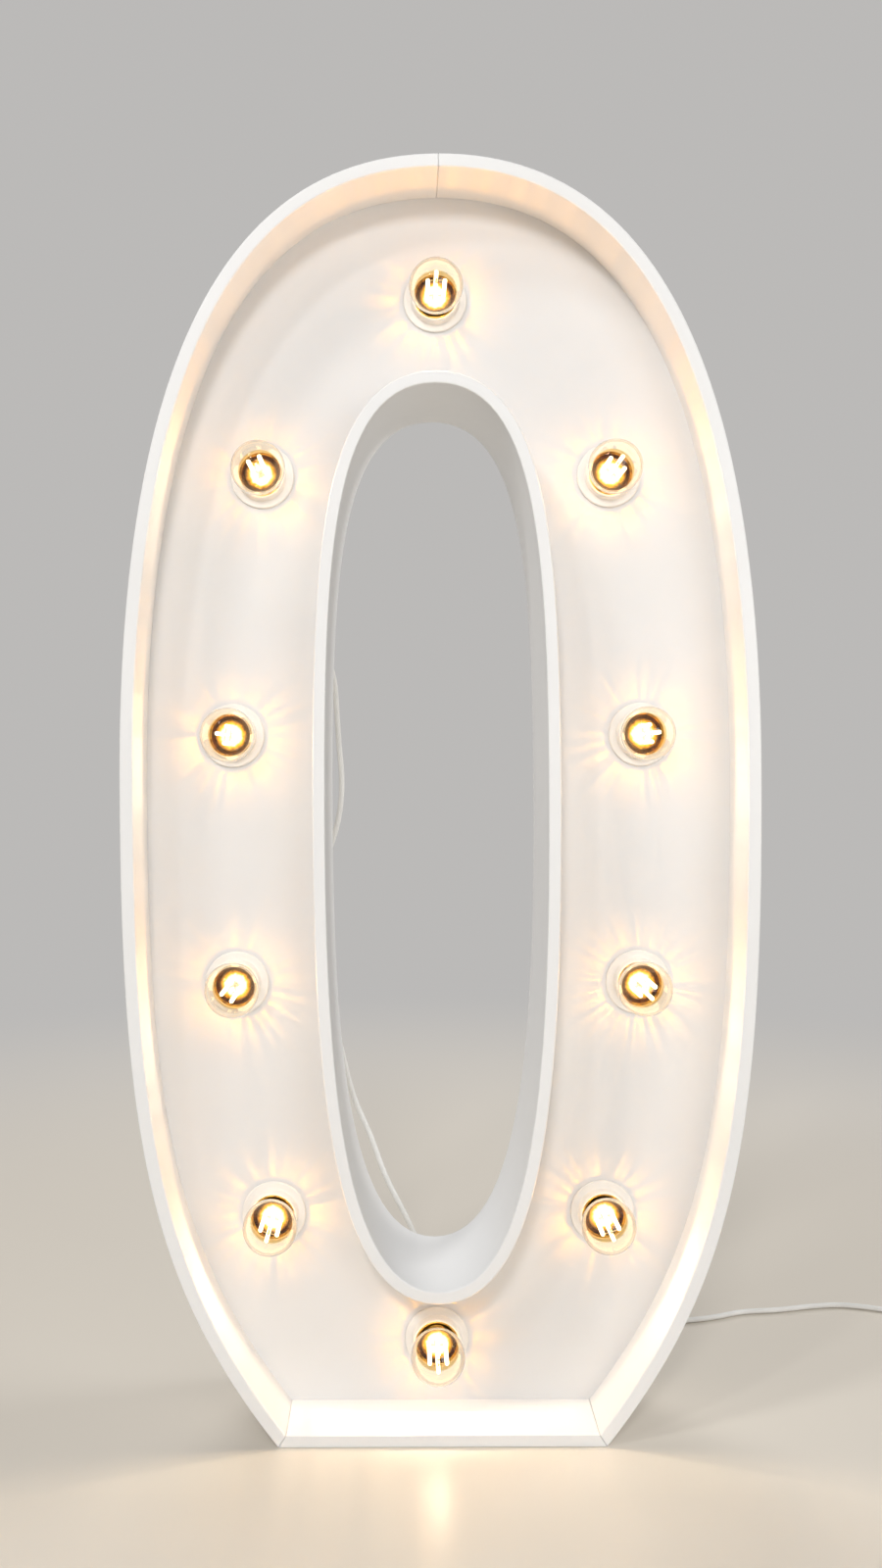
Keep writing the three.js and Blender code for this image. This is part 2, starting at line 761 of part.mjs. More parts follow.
// One unbroken tube through points: a ring of corners at each, square to the path there
function tubeThrough(points, radius, sides) {
  const corners = [];
  points.forEach((p, i) => {
    const before = points[Math.max(i - 1, 0)];
    const after = points[Math.min(i + 1, points.length - 1)];
    const along = after.clone().sub(before).normalize();
    const across = new THREE.Vector3(along.y, -along.x, 0).normalize();
    const upwards = across.clone().cross(along);
    for (let k = 0; k < sides; k += 1) {
      const angle = (k / sides) * 2 * Math.PI;
      const corner = p.clone().addScaledVector(across, radius * Math.cos(angle));
      corners.push(corner.addScaledVector(upwards, radius * Math.sin(angle)));
    }
  });
  const faces = [];
  for (let i = 0; i + 1 < points.length; i += 1) {
    for (let k = 0; k < sides; k += 1) {
      const a = i * sides + k;
      const b = i * sides + ((k + 1) % sides);
      faces.push(a, b + sides, b, a, a + sides, b + sides);
    }
  }
  const end = (points.length - 1) * sides;
  for (let k = 1; k + 1 < sides; k += 1) {
    faces.push(0, k, k + 1, end, end + k + 1, end + k);
  }
  return new THREE.BufferGeometry().setFromPoints(corners).setIndex(faces);
}

function lengthOf(points) {
  return points.slice(1).reduce((sum, p, i) => sum + p.distanceTo(points[i]), 0);
}

// The least distance between turns, less the cord: points half a turn apart or more along the path
function leastGap(points) {
  const apart = coil.stepsPerTurn / 2;
  let least = Infinity;
  points.forEach((p, i) => {
    for (let j = i + apart; j < points.length; j += 1) least = Math.min(least, p.distanceTo(points[j]));
  });
  return least - cord.diameter;
}

function buildCord() {
  const route = curveThrough(cordRoute);
  place("cord_lead", tube(route, cord.diameter / 2, cordSides, cordSteps), cordPlastic);
  place("cord_coil", tubeThrough(coilPath, cord.diameter / 2, coil.sides), cordPlastic);
  console.log("cord: free stretch " + route.getLength().toFixed(0) + " mm");
  console.log("coil: " + lengthOf(coilPath).toFixed(0) + " mm of cord");
  console.log("coil: least gap between turns " + leastGap(coilPath).toFixed(2) + " mm");
}

// The plug: a flat tapered body with a tapered sleeve for the cord and two round pins
function buildPlug() {
  const half = plug.width / 2;
  const neck = plug.neckWidth / 2;
  const back = plug.bodyLength + plug.taperLength;
  const outline = [
    point(-half, 0),
    point(half, 0),
    point(half, plug.bodyLength),
    point(neck, back),
    point(-neck, back),
    point(-half, plug.bodyLength),
  ];
  const shape = new THREE.Shape(outline);
  const body = new THREE.ExtrudeGeometry(shape, { depth: plug.thickness, bevelEnabled: false });
  body.translate(0, 0, -plug.thickness / 2);
  const relief = new THREE.CylinderGeometry(
    plug.reliefRadius,
    plug.reliefRootRadius,
    plug.reliefLength + cutOverrun,
    smallFacets,
  );
  relief.translate(0, back + (plug.reliefLength - cutOverrun) / 2, 0);
  const pinReach = plug.pinLength + cutOverrun;
  const pins = [-1, 1].map((side) => {
    const pin = new THREE.CylinderGeometry(plug.pinRadius, plug.pinRadius, pinReach, smallFacets);
    return pin.translate((side * plug.pinSpacing) / 2, (cutOverrun - plug.pinLength) / 2, 0);
  });
  const mesh = place("plug", joined(body, relief, ...pins), whitePlastic);
  const reach = back + plug.reliefLength + fitGap;
  mesh.rotation.z = Math.atan2(coilHeading.x, -coilHeading.y);
  mesh.position.copy(coilEnd).addScaledVector(coilHeading, reach);
}

buildCase();
buildPanel();
buildCover();
buildLamps();
buildWiring();
buildGland();
buildClip();
buildCord();
buildPlug();

export default number;
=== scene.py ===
# A free-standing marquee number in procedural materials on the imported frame. Sizes are in
# millimetres unless a comment says otherwise, and meshes are made in metres.
import math

import bmesh
import bpy
from mathutils import Matrix, Vector


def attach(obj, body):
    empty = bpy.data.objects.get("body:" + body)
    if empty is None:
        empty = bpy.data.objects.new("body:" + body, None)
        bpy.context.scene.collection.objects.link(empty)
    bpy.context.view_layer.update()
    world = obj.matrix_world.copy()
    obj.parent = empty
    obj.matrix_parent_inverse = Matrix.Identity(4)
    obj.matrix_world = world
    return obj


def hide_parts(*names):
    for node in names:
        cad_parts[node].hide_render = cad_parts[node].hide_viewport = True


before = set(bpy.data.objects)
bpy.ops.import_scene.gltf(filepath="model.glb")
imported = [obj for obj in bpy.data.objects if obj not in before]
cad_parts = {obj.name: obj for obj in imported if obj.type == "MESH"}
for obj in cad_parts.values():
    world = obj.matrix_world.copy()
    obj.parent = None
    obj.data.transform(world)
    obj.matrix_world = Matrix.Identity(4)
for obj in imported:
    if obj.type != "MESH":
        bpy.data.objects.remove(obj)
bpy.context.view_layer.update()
scene = bpy.context.scene
scene.view_settings.view_transform = "Standard"

# Metres in a millimetre
MM = 0.001
# Place of the boards' front edge along Y
FRONT = -82.3
# The body that carries everything but the bulbs
HOUSING = "housing"


def behind(distance):
    """The place along Y that lies this far behind the front edge."""
    return FRONT + distance


def new_object(name, data):
    made = bpy.data.objects.new(name, data)
    scene.collection.objects.link(made)
    return made


# Camera: the shifts are shares of the picture's longer side, the roll is in degrees


SENSOR, LENS = 36.0, 30.69
CAMERA_SHIFT = (0.02625, -0.015)
CAMERA_X, CAMERA_DISTANCE, CAMERA_HEIGHT = -37.7, 1239, 636.8
CAMERA_ROLL = 0.2


def add_camera():
    data = bpy.data.cameras.new("camera")
    data.sensor_width = SENSOR
    data.lens = LENS
    data.shift_x, data.shift_y = CAMERA_SHIFT
    camera = new_object("camera", data)
    camera.location = (CAMERA_X * MM, behind(-CAMERA_DISTANCE) * MM, CAMERA_HEIGHT * MM)
    camera.rotation_euler = (math.radians(90), math.radians(CAMERA_ROLL), 0)
    scene.camera = camera


# Materials


def add_node(tree, kind, **values):
    """A shader node with the inputs or settings given by name."""
    node = tree.nodes.new("ShaderNode" + kind)
    for key, value in values.items():
        if key in node.inputs:
            node.inputs[key].default_value = value
        else:
            setattr(node, key, value)
    return node


def maths(tree, operation, *values, kind="Math"):
    """The result of a sum on plain values and on the outputs of other nodes."""
    node = add_node(tree, kind, operation=operation)
    for socket, value in zip(node.inputs, values):
        if isinstance(value, bpy.types.NodeSocket):
            tree.links.new(value, socket)
        else:
            socket.default_value = value
    return node.outputs[0]


def new_material(name, colour, roughness, **sockets):
    """A material, its nodes and its shader. An underscore in a socket's name stands for a space."""
    made = bpy.data.materials.new(name)
    made.use_nodes = True
    shader = made.node_tree.nodes["Principled BSDF"]
    shader.inputs["Base Color"].default_value = (*colour, 1)
    shader.inputs["Roughness"].default_value = roughness
    for key, value in sockets.items():
        shader.inputs[key.replace("_", " ")].default_value = value
    return made, made.node_tree, shader


def object_point(tree):
    return add_node(tree, "TexCoord").outputs["Object"]


def noise(tree, scale, detail=2.0, roughness=0.5, stretch=None):
    node = add_node(tree, "TexNoise", Scale=scale, Detail=detail, Roughness=roughness)
    place = object_point(tree)
    if stretch:
        mapping = add_node(tree, "Mapping", Scale=stretch)
        tree.links.new(place, mapping.inputs["Vector"])
        place = mapping.outputs["Vector"]
    tree.links.new(place, node.inputs["Vector"])
    return node.outputs["Fac"]


def ramp(tree, value, stops):
    """The colour of a value between stops of (position, colour)."""
    stops = list(stops)
    node = add_node(tree, "ValToRGB")
    elements = node.color_ramp.elements
    while len(elements) < len(stops):
        elements.new(0.5)
    for element, (position, colour) in zip(elements, stops):
        element.position = position
        element.color = (*colour, 1)
    tree.links.new(value, node.inputs["Fac"])
    return node.outputs["Color"]


def tinted(tree, shader, value, stops, socket="Base Color"):
    tree.links.new(ramp(tree, value, stops), shader.inputs[socket])


def span(tree, value, low, high, to_low=0.0, to_high=1.0, smooth=False):
    """The value moved from one range to another, and held at its ends."""
    limits = {"From Min": low, "From Max": high, "To Min": to_low, "To Max": to_high}
    kind = "SMOOTHSTEP" if smooth else "LINEAR"
    node = add_node(tree, "MapRange", interpolation_type=kind, **limits)
    tree.links.new(value, node.inputs["Value"])
    return node.outputs["Result"]


def bump(tree, shader, height, strength, distance):
    node = add_node(tree, "Bump", Strength=strength, Distance=distance)
    tree.links.new(height, node.inputs["Height"])
    tree.links.new(node.outputs["Normal"], shader.inputs["Normal"])


def finish_of(name, colours, roughs, band, clouds, gloss, grain, relief, **sockets):
    """Clouds of colour, uneven gloss and a fine relief, each from a noise of its own."""
    made, tree, shader = new_material(name, colours[1], roughs[0], **sockets)
    tinted(tree, shader, noise(tree, *clouds), zip(band, colours))
    rough = span(tree, noise(tree, *gloss), *band, *roughs)
    tree.links.new(rough, shader.inputs["Roughness"])
    bump(tree, shader, noise(tree, *grain), *relief)
    return made


def painted(name, low, high, rough_low, rough_high, strength=0.12):
    """White paint on board: faint mottling, a rolled texture and slightly uneven gloss."""
    noises = (9.0, 3.0, 0.55), (24.0,), (210.0, 1.5)
    roughs = (rough_low, rough_high)
    return finish_of(name, (low, high), roughs, (0.25, 0.75), *noises, (strength, 0.00008))


def moulded(name, low, high, rough, strength=0.04):
    """Moulded plastic: even colour with a faint cloud and a fine surface."""
    noises = (60.0,), (180.0,), (500.0, 1.0)
    roughs = (rough * 0.85, rough * 1.2)
    return finish_of(name, (low, high), roughs, (0.3, 0.7), *noises, (strength, 0.00006))


def metal(name, low, high, rough):
    noises = (90.0, 4.0, 0.6, (1, 12, 1)), (320.0, 3.0), (900.0,)
    roughs = (rough * 0.7, rough * 1.5)
    return finish_of(
        name, (low, high), roughs, (0.3, 0.7), *noises, (0.05, 0.0002), Metallic=1.0
    )


def throat_painted_shade():
    """Dark brown as painted shade in the holder's throat, behind the amber glass of the bulb's neck.
    """
    colour = (0.02, 0.008, 0.002)
    made, tree, shader = new_material("holder_throat_painted_shade", colour, 0.22, Specular_IOR_Level=0.15)
    streak = noise(tree, 220.0, detail=3.0)
    tinted(tree, shader, streak, [(0.35, (0.012, 0.004, 0.0003)), (0.7, (0.06, 0.022, 0.001))])
    bump(tree, shader, noise(tree, 900.0), 0.08, 0.0003)
    return made


def mouth_rim():
    """The rim of the holder's mouth, golden where the amber glass throws its light on it."""
    colour = (0.4, 0.2, 0.03)
    made, tree, shader = new_material("holder_mouth", colour, 0.32, Specular_IOR_Level=0.2)
    patches = noise(tree, 160.0)
    tinted(tree, shader, patches, [(0.35, (0.13, 0.085, 0.012)), (0.65, (0.55, 0.42, 0.1))])
    return made


def amber_glass():
    """Thin amber glass, deeper in colour where it is seen edge on."""
    made, tree, shader = new_material(
        "amber_glass",
        (0.985, 0.95, 0.87),
        0.02,
        Transmission_Weight=1.0,
        IOR=1.2,
        Coat_Weight=0.4,
        Coat_Roughness=0.03,
    )
    edge = add_node(tree, "LayerWeight", Blend=0.25)
    cloud = maths(tree, "MULTIPLY_ADD", noise(tree, 40.0), 0.12, edge.outputs["Facing"])
    stops = [(0.05, (0.985, 0.955, 0.9)), (0.5, (0.975, 0.92, 0.83)), (0.95, (0.88, 0.72, 0.5))]
    tinted(tree, shader, cloud, stops)
    return made


def neck_glass():
    """The bulb's neck inside the holder: the same thin glass, deeper in colour."""
    made, tree, shader = new_material(
        "neck_glass", (0.86, 0.55, 0.2), 0.04, Transmission_Weight=1.0, IOR=1.04
    )
    tinted(tree, shader, noise(tree, 70.0), [(0.3, (0.86, 0.62, 0.24)), (0.7, (0.92, 0.73, 0.38))])
    return made


def glow(name, colour, edge, strength):
    made, tree, shader = new_material(name, colour, 0.5, Emission_Strength=strength)
    tinted(tree, shader, noise(tree, 400.0), [(0.25, edge), (0.6, colour)], "Emission Color")
    return made


def flare_painted_glow():
    """Painted glow on the flare in the bulb's neck: white round the stem, then amber, nearly black
    outside as painted shade.
    """
    made, tree, shader = new_material(
        "flare_painted_glow", (0.012, 0.005, 0.001), 0.15, Specular_IOR_Level=0.2, Emission_Strength=1.5
    )
    radius = add_node(tree, "Attribute", attribute_name="rim")
    nearer = maths(tree, "MULTIPLY", radius.outputs["Fac"], 0.8)
    swirl = noise(tree, 260.0, detail=3.0, roughness=0.65)
    wobble = maths(tree, "MULTIPLY_ADD", swirl, 0.26, nearer)
    stops = [
        (0.65, (1.0, 0.95, 0.76)),
        (0.71, (1.0, 0.62, 0.08)),
        (0.8, (0.75, 0.32, 0.01)),
        (0.88, (0.24, 0.085, 0.002)),
        (0.96, (0.03, 0.01, 0.001)),
    ]
    tinted(tree, shader, wobble, stops, "Emission Color")
    return made


WALL_PAINT = painted("wall_paint", (0.85, 0.847, 0.842), (0.885, 0.882, 0.877), 0.29, 0.38)
# The panel's paint is darker than the walls' as painted shade of its recess behind the walls
PANEL_PAINT_SHADED = painted("panel_paint", (0.735, 0.733, 0.73), (0.765, 0.763, 0.76), 0.34, 0.44, 0.08)
COVER_BOARD = painted("cover_board", (0.725, 0.71, 0.675), (0.78, 0.765, 0.73), 0.55, 0.7, 0.5)
HOLDER_PLASTIC = moulded("holder_plastic", (0.83, 0.8, 0.75), (0.87, 0.845, 0.8), 0.34)
FITTING_PLASTIC = moulded("fitting_plastic", (0.8, 0.79, 0.76), (0.85, 0.84, 0.81), 0.35)
BLOCK_PLASTIC = moulded("block_plastic", (0.74, 0.73, 0.68), (0.8, 0.79, 0.75), 0.5, 0.1)
CABLE_PLASTIC = moulded("cable_plastic", (0.76, 0.75, 0.71), (0.82, 0.81, 0.78), 0.5)
CORD_PLASTIC = moulded("cord_plastic", (0.79, 0.78, 0.75), (0.85, 0.84, 0.81), 0.42)
CAP_METAL = metal("cap_metal", (0.55, 0.44, 0.24), (0.72, 0.6, 0.36), 0.4)
SCREW_STEEL = metal("screw_steel", (0.5, 0.5, 0.51), (0.66, 0.66, 0.67), 0.4)
PIN_METAL = metal("pin_metal", (0.56, 0.56, 0.57), (0.7, 0.7, 0.71), 0.18)
# The throat's dark brown is painted shade
HOLDER_THROAT_SHADE = throat_painted_shade()
HOLDER_MOUTH = mouth_rim()
AMBER_GLASS = amber_glass()
NECK_GLASS = neck_glass()
FILAMENT_GLOW = glow("filament_glow", (1.0, 0.86, 0.55), (1.0, 0.8, 0.42), 5.0)
# The wire crosses in the bulbs glow as painted light, though they are no lamp
WIRE_PAINTED_GLOW = glow("wire_painted_glow", (1.0, 0.7, 0.28), (0.8, 0.45, 0.12), 0.35)
FLARE_PAINTED_GLOW = flare_painted_glow()


# Mesh helpers


# Corners nearer than this, in metres, are joined
WELD = 1e-6


def outward_faces(mesh, weld):
    """Turns the faces of a closed mesh outwards, after joining doubled corners if asked."""
    work = bmesh.new()
    work.from_mesh(mesh)
    if weld:
        bmesh.ops.remove_doubles(work, verts=work.verts, dist=WELD)
    bmesh.ops.recalc_face_normals(work, faces=work.faces)
    work.to_mesh(mesh)
    work.free()


def piece(name, corners, faces, finishes, crease_angle=35, face_slots=None, weld=False):
    """A mesh from corners in millimetres, creased where faces meet at more than the angle."""
    mesh = bpy.data.meshes.new(name)
    mesh.from_pydata([Vector(corner) * MM for corner in corners], [], faces)
    for finish in finishes:
        mesh.materials.append(finish)
    if face_slots:
        mesh.polygons.foreach_set("material_index", face_slots)
    mesh.validate()
    mesh.shade_smooth()
    mesh.set_sharp_from_angle(angle=math.radians(crease_angle))
    outward_faces(mesh, weld)
    return new_object(name, mesh)


def finish_piece(made, slot_name, *nodes, body=HOUSING):
    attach(made, body)
    if nodes:
        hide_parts(*nodes)
    return made


def swept(rings, closed, caps=True):
    """Faces that join equal rings of corners in order, round and round or with end caps."""
    size = len(rings[0])
    corners = [corner for ring in rings for corner in ring]
    count = len(rings)
    faces = []
    for i in range(count if closed else count - 1):
        a, b = i * size, ((i + 1) % count) * size
        for k in range(size):
            n = (k + 1) % size
            faces.append((a + k, a + n, b + n, b + k))
    if not closed and caps:
        faces.append(tuple(reversed(range(size))))
        faces.append(tuple((count - 1) * size + k for k in range(size)))
    return corners, faces


def turn_angles(count):
    return [2 * math.pi * k / count for k in range(count)]


def circle_corners(centre, radius, y, segments):
    """Corners of a circle about the Y axis through the centre, the first one at the top."""
    cx, cy, cz = centre
    angles = turn_angles(segments)
    return [(cx + radius * math.sin(a), cy + y, cz + radius * math.cos(a)) for a in angles]


def turned(profile, segments, centre=(0, 0, 0)):
    """Turned about the Y axis from (radius, y) pairs that start and end on the axis."""
    corners, faces, rings = [], [], []
    for radius, y in profile:
        first = len(corners)
        corners += circle_corners(centre, radius, y, segments if radius else 1)
        rings.append(range(first, len(corners)))
    for low, high in zip(rings, rings[1:]):
        for k in range(segments):
            n = (k + 1) % segments
            quad = (low[k % len(low)], low[n % len(low)], high[n % len(high)], high[k % len(high)])
            face = tuple(dict.fromkeys(quad))
            if len(face) > 2:
                faces.append(face)
    return corners, faces


def joined(*parts):
    """One mesh from parts of corners and faces, with the number of each part's finish."""
    corners, faces, slots = [], [], []
    for part_corners, part_faces, slot in parts:
        first = len(corners)
        corners += part_corners
        faces += [tuple(i + first for i in face) for face in part_faces]
        slots += [slot] * len(part_faces)
    return corners, faces, slots


def rounded(profile, radius, steps):
    """Replaces each inner corner of an open profile by a short arc."""
    done = [profile[0]]
    for before, here, after in zip(profile, profile[1:], profile[2:]):
        a = Vector(before) - Vector(here)
        b = Vector(after) - Vector(here)
        reach = min(radius, a.length * 0.45, b.length * 0.45)
        start = Vector(here) + a.normalized() * reach
        end = Vector(here) + b.normalized() * reach
        for i in range(steps + 1):
            t = i / steps
            spot = start * (1 - t) ** 2 + Vector(here) * 2 * t * (1 - t) + end * t**2
            done.append((spot.x, spot.y))
    done.append(profile[-1])
    return done


def smooth_step(t):
    return t * t * (3 - 2 * t)


# Outlines of the figure and of its hole: the right half of each, from its top to its bottom


HEIGHT, WIDEST, HALF_WIDTH, FOOT_HALF_WIDTH = 1200, 622, 298, 153
HOLE_TOP, HOLE_WIDEST, HOLE_BOTTOM, HOLE_HALF_WIDTH = 987, 589, 143.5, 104
# The hole's middle along X
HOLE_OFFSET = -3.5
# The foot's handle, and the share of the height that the handle above it takes
FOOT_LEAN = math.radians(51.7)
FOOT_HANDLE = WIDEST * 0.3135
FLANK_SHARE = 0.53


def quarter(half_width, end, widest, end_share, side_share):
    """Handles of a quarter of an oval, from its top or bottom to where it is widest."""
    side = widest + (end - widest) * side_share
    return [(0, end), (half_width * end_share, end), (half_width, side), (half_width, widest)]


FIGURE_HALF = [
    quarter(HALF_WIDTH, HEIGHT, WIDEST, end_share=0.742, side_share=0.583),
    [
        (HALF_WIDTH, WIDEST),
        (HALF_WIDTH, WIDEST * (1 - FLANK_SHARE)),
        (FOOT_HALF_WIDTH + FOOT_HANDLE * math.cos(FOOT_LEAN), FOOT_HANDLE * math.sin(FOOT_LEAN)),
        (FOOT_HALF_WIDTH, 0),
    ],
]
HOLE_HALF = [
    quarter(HOLE_HALF_WIDTH, HOLE_TOP, HOLE_WIDEST, end_share=0.933, side_share=0.589),
    quarter(HOLE_HALF_WIDTH, HOLE_BOTTOM, HOLE_WIDEST, end_share=0.861, side_share=0.54)[::-1],
]
# Stretches of half an outline: the figure's for flat boards, the hole's and the outer wall's
FIGURE_STEPS, HOLE_STEPS, WALL_STEPS = 72, 56, 110
HALVINGS = 40


def cubic(p, t):
    s = 1 - t
    weights = (s**3, 3 * s * s * t, 3 * s * t * t, t**3)
    return sum((Vector(q) * w for q, w in zip(p, weights)), Vector((0, 0)))


def cubic_heading(p, t):
    s = 1 - t
    legs = [Vector(b) - Vector(a) for a, b in zip(p, p[1:])]
    weights = (s * s, 2 * s * t, t * t)
    return sum((leg * w for leg, w in zip(legs, weights)), Vector((0, 0))).normalized()


def edge_point(half, u, outward):
    """The place u along half an outline, from 0 at its top to 2 at its bottom, moved outwards."""
    part = min(int(u), 1)
    spot = cubic(half[part], u - part)
    along = cubic_heading(half[part], u - part)
    return Vector((spot.x - along.y * outward, spot.y + along.x * outward))


def edge_at_height(half, outward, height):
    """How far along its lower quarter the moved outline comes down to a height."""
    low, high = 1.0, 2.0
    for _ in range(HALVINGS):
        middle = (low + high) / 2
        if edge_point(half, middle, outward).y > height:
            low = middle
        else:
            high = middle
    return high


def half_edge(half, outward, steps, end=2.0):
    return [edge_point(half, end * i / steps, outward) for i in range(steps + 1)]


def mirrored(points):
    return [Vector((-p.x, p.y)) for p in points]


def figure_ring(inset, floor):
    """The figure's outline moved inwards and cut off at a height above the ground."""
    end = edge_at_height(FIGURE_HALF, -inset, floor)
    right = half_edge(FIGURE_HALF, -inset, FIGURE_STEPS, end)
    return right + mirrored(right)[:0:-1]


def hole_ring(outward):
    right = half_edge(HOLE_HALF, outward, HOLE_STEPS)
    ring = right + mirrored(right)[-2:0:-1]
    return [Vector((p.x + HOLE_OFFSET, p.y)) for p in ring]


def circle(centre, radius, count=48):
    x, z = centre
    return [(x + radius * math.sin(a), z + radius * math.cos(a)) for a in turn_angles(count)]


# Boards


# Clearance between seated pieces
GAP = 0.3
# Depth of the figure, thickness of its cover, and place and thickness of its panel
DEPTH, COVER, PANEL, PANEL_THICKNESS = 150, 4, 70.0, 6
OUTER_WALL, BASE, INNER_WALL = 12.5, 11.0, 11.5
WALL_DEPTH = DEPTH - COVER - GAP
# Radii of the walls' long edges, the steps of their arcs, and the ease of other edges
ROUND_FRONT, ROUND_REAR, ROUND_STEPS = 1.5, 0.6, 4
SEAM_EASE, BASE_EASE, PANEL_EASE, COVER_EASE = 0.5, 0.8, 0.01, 0.4
# How far the panel reaches into the walls, and the cover stands back from their outside
PANEL_TUCK, COVER_INSET = 0.2, 1
# Width of the strip beside a rounded edge that keeps the board's shading flat
HOLD = 0.8
# Least angle in degrees at which a flat plate is creased
FLAT_CREASE = 10
# Where the cord leaves the cover
EXIT_X, EXIT_Z = -128.0, 812.0
CUP_RADIUS, SHANK_RADIUS, SCREW_RADIUS = 20, 6, 1.7
# Places of the cover's screws along the right half of the figure's outline
SCREW_SHARES = (0.35, 1.02, 1.62)


def board_section(outside, inside, shrink=0.0):
    """A ring of corners across a board between two edge points, its long edges rounded."""
    across = inside - outside
    width = across.length
    across.normalize()
    low, high = shrink, width - shrink
    front, rear = shrink, WALL_DEPTH - shrink
    corners = []
    for a, d, radius, start in (
        (high, front, ROUND_FRONT, 270),
        (high, rear, ROUND_REAR, 0),
        (low, rear, ROUND_REAR, 90),
        (low, front, ROUND_FRONT, 180),
    ):
        ca = a - radius if a == high else a + radius
        cd = d + radius if d == front else d - radius
        for i in range(-1, ROUND_STEPS + 2):
            share = min(max(i, 0), ROUND_STEPS) / ROUND_STEPS
            angle = math.radians(start + 90 * share)
            onward = HOLD * ((i > ROUND_STEPS) - (i < 0))
            a_spot = ca + radius * math.cos(angle) - onward * math.sin(angle)
            d_spot = cd + radius * math.sin(angle) + onward * math.cos(angle)
            spot = outside + across * a_spot
            corners.append((spot.x, behind(d_spot), spot.y))
    return corners


def build_outer_wall(side, name):
    """Half of the outer wall, at the right or mirrored, eased where the halves meet."""
    end = edge_at_height(FIGURE_HALF, -OUTER_WALL, BASE)
    outside = half_edge(FIGURE_HALF, 0, WALL_STEPS)
    inside = half_edge(FIGURE_HALF, -OUTER_WALL, WALL_STEPS, end)
    outside[0].x = inside[0].x = GAP / 2
    sections = [board_section(o, n) for o, n in zip(outside, inside)]
    seam_face = board_section(outside[0], inside[0], SEAM_EASE)
    seam_edge = [(x + SEAM_EASE, y, z) for x, y, z in sections[0]]
    rings = [seam_face, seam_edge] + sections[1:]
    if side < 0:
        rings = [[(-x, y, z) for x, y, z in reversed(ring)] for ring in rings]
    corners, faces = swept(rings, False)
    finish_piece(piece(name, corners, faces, [WALL_PAINT]), "wall_paint", name)


def build_inner_wall():
    rings = [board_section(o, n) for o, n in zip(hole_ring(INNER_WALL), hole_ring(0))]
    corners, faces = swept(rings, True)
    made = piece("inner_wall_board", corners, faces, [WALL_PAINT])
    finish_piece(made, "wall_paint", "inner_wall")


def build_base():
    inner = edge_point(FIGURE_HALF, edge_at_height(FIGURE_HALF, -OUTER_WALL, BASE), -OUTER_WALL)
    top, foot = inner.x - 2 * GAP, FOOT_HALF_WIDTH - 2 * GAP
    section = [(-foot, 0), (foot, 0), (top, BASE), (-top, BASE)]
    rings = [[(x, behind(d), z) for x, z in section] for d in (0, WALL_DEPTH)]
    corners, faces = swept(rings, False)
    made = piece("base_board_wood", corners, faces, [WALL_PAINT])
    work = bmesh.new()
    work.from_mesh(made.data)
    bmesh.ops.bevel(
        work, geom=work.edges[:], offset=BASE_EASE * MM, segments=3, affect="EDGES", profile=0.5
    )
    work.to_mesh(made.data)
    work.free()
    made.data.shade_smooth()
    made.data.set_sharp_from_angle(angle=math.radians(FLAT_CREASE))
    finish_piece(made, "wall_paint", "base_board")


def slab(name, outline, holes, thickness, ease, place, finish):
    """A plate from a filled outline with holes, eased by a small bevel, then put in its place."""
    data = bpy.data.curves.new(name, "CURVE")
    data.dimensions = "2D"
    data.fill_mode = "BOTH"
    for ring in [outline, *holes]:
        spline = data.splines.new("POLY")
        spline.points.add(len(ring) - 1)
        for spot, corner in zip(spline.points, ring):
            spot.co = (corner[0] * MM, corner[1] * MM, 0, 1)
        spline.use_cyclic_u = True
    data.extrude = (thickness / 2 - ease) * MM
    data.bevel_depth = ease * MM
    data.bevel_resolution = 2
    data.offset = -ease * MM
    curve = new_object(name, data)
    bpy.context.view_layer.update()
    depsgraph = bpy.context.evaluated_depsgraph_get()
    mesh = bpy.data.meshes.new_from_object(curve.evaluated_get(depsgraph))
    bpy.data.objects.remove(curve)
    mesh.transform(place)
    outward_faces(mesh, True)
    mesh.materials.clear()
    mesh.materials.append(finish)
    mesh.shade_smooth()
    mesh.set_sharp_from_angle(angle=math.radians(FLAT_CREASE))
    mesh.name = name
    return new_object(name, mesh)


def flat_board(name, outline, holes, front, thickness, ease, finish):
    middle = Matrix.Translation((0, behind(front + thickness / 2) * MM, 0))
    upright = middle @ Matrix.Rotation(math.radians(90), 4, "X")
    return slab(name, outline, holes, thickness, ease, upright, finish)


def screw_spots():
    right = [edge_point(FIGURE_HALF, u, -OUTER_WALL / 2) for u in SCREW_SHARES]
    return right + mirrored(right)


# Each bulb's place along the outer wall and along the hole's wall, and its share of the way from
# the second to the first; the side bulbs stand in pairs
TOP_LAMP = (0, 0, 0.465)
SIDE_LAMPS = [
    (0.644, 0.457, 0.467),
    (0.959, 0.895, 0.496),
    (1.241, 1.239, 0.498),
    (1.649, 1.618, 0.503),
]


def lamp_spot(outer, inner, share, side):
    """A bulb's place, with the part of the hole's offset that it takes."""
    wall = edge_point(FIGURE_HALF, outer, -OUTER_WALL)
    rim = edge_point(HOLE_HALF, inner, INNER_WALL)
    spot = rim.lerp(wall, share)
    return side * spot.x + HOLE_OFFSET * (1 - share), spot.y


def lamp_spots():
    """From the top bulb down the right side, then up the left side."""
    right = [lamp_spot(*row, 1) for row in SIDE_LAMPS]
    left = [lamp_spot(*row, -1) for row in reversed(SIDE_LAMPS)]
    bottom = (HOLE_OFFSET, (HOLE_BOTTOM - INNER_WALL + BASE) / 2)
    return [lamp_spot(*TOP_LAMP, 0), *right, bottom, *left]


SPOTS = lamp_spots()


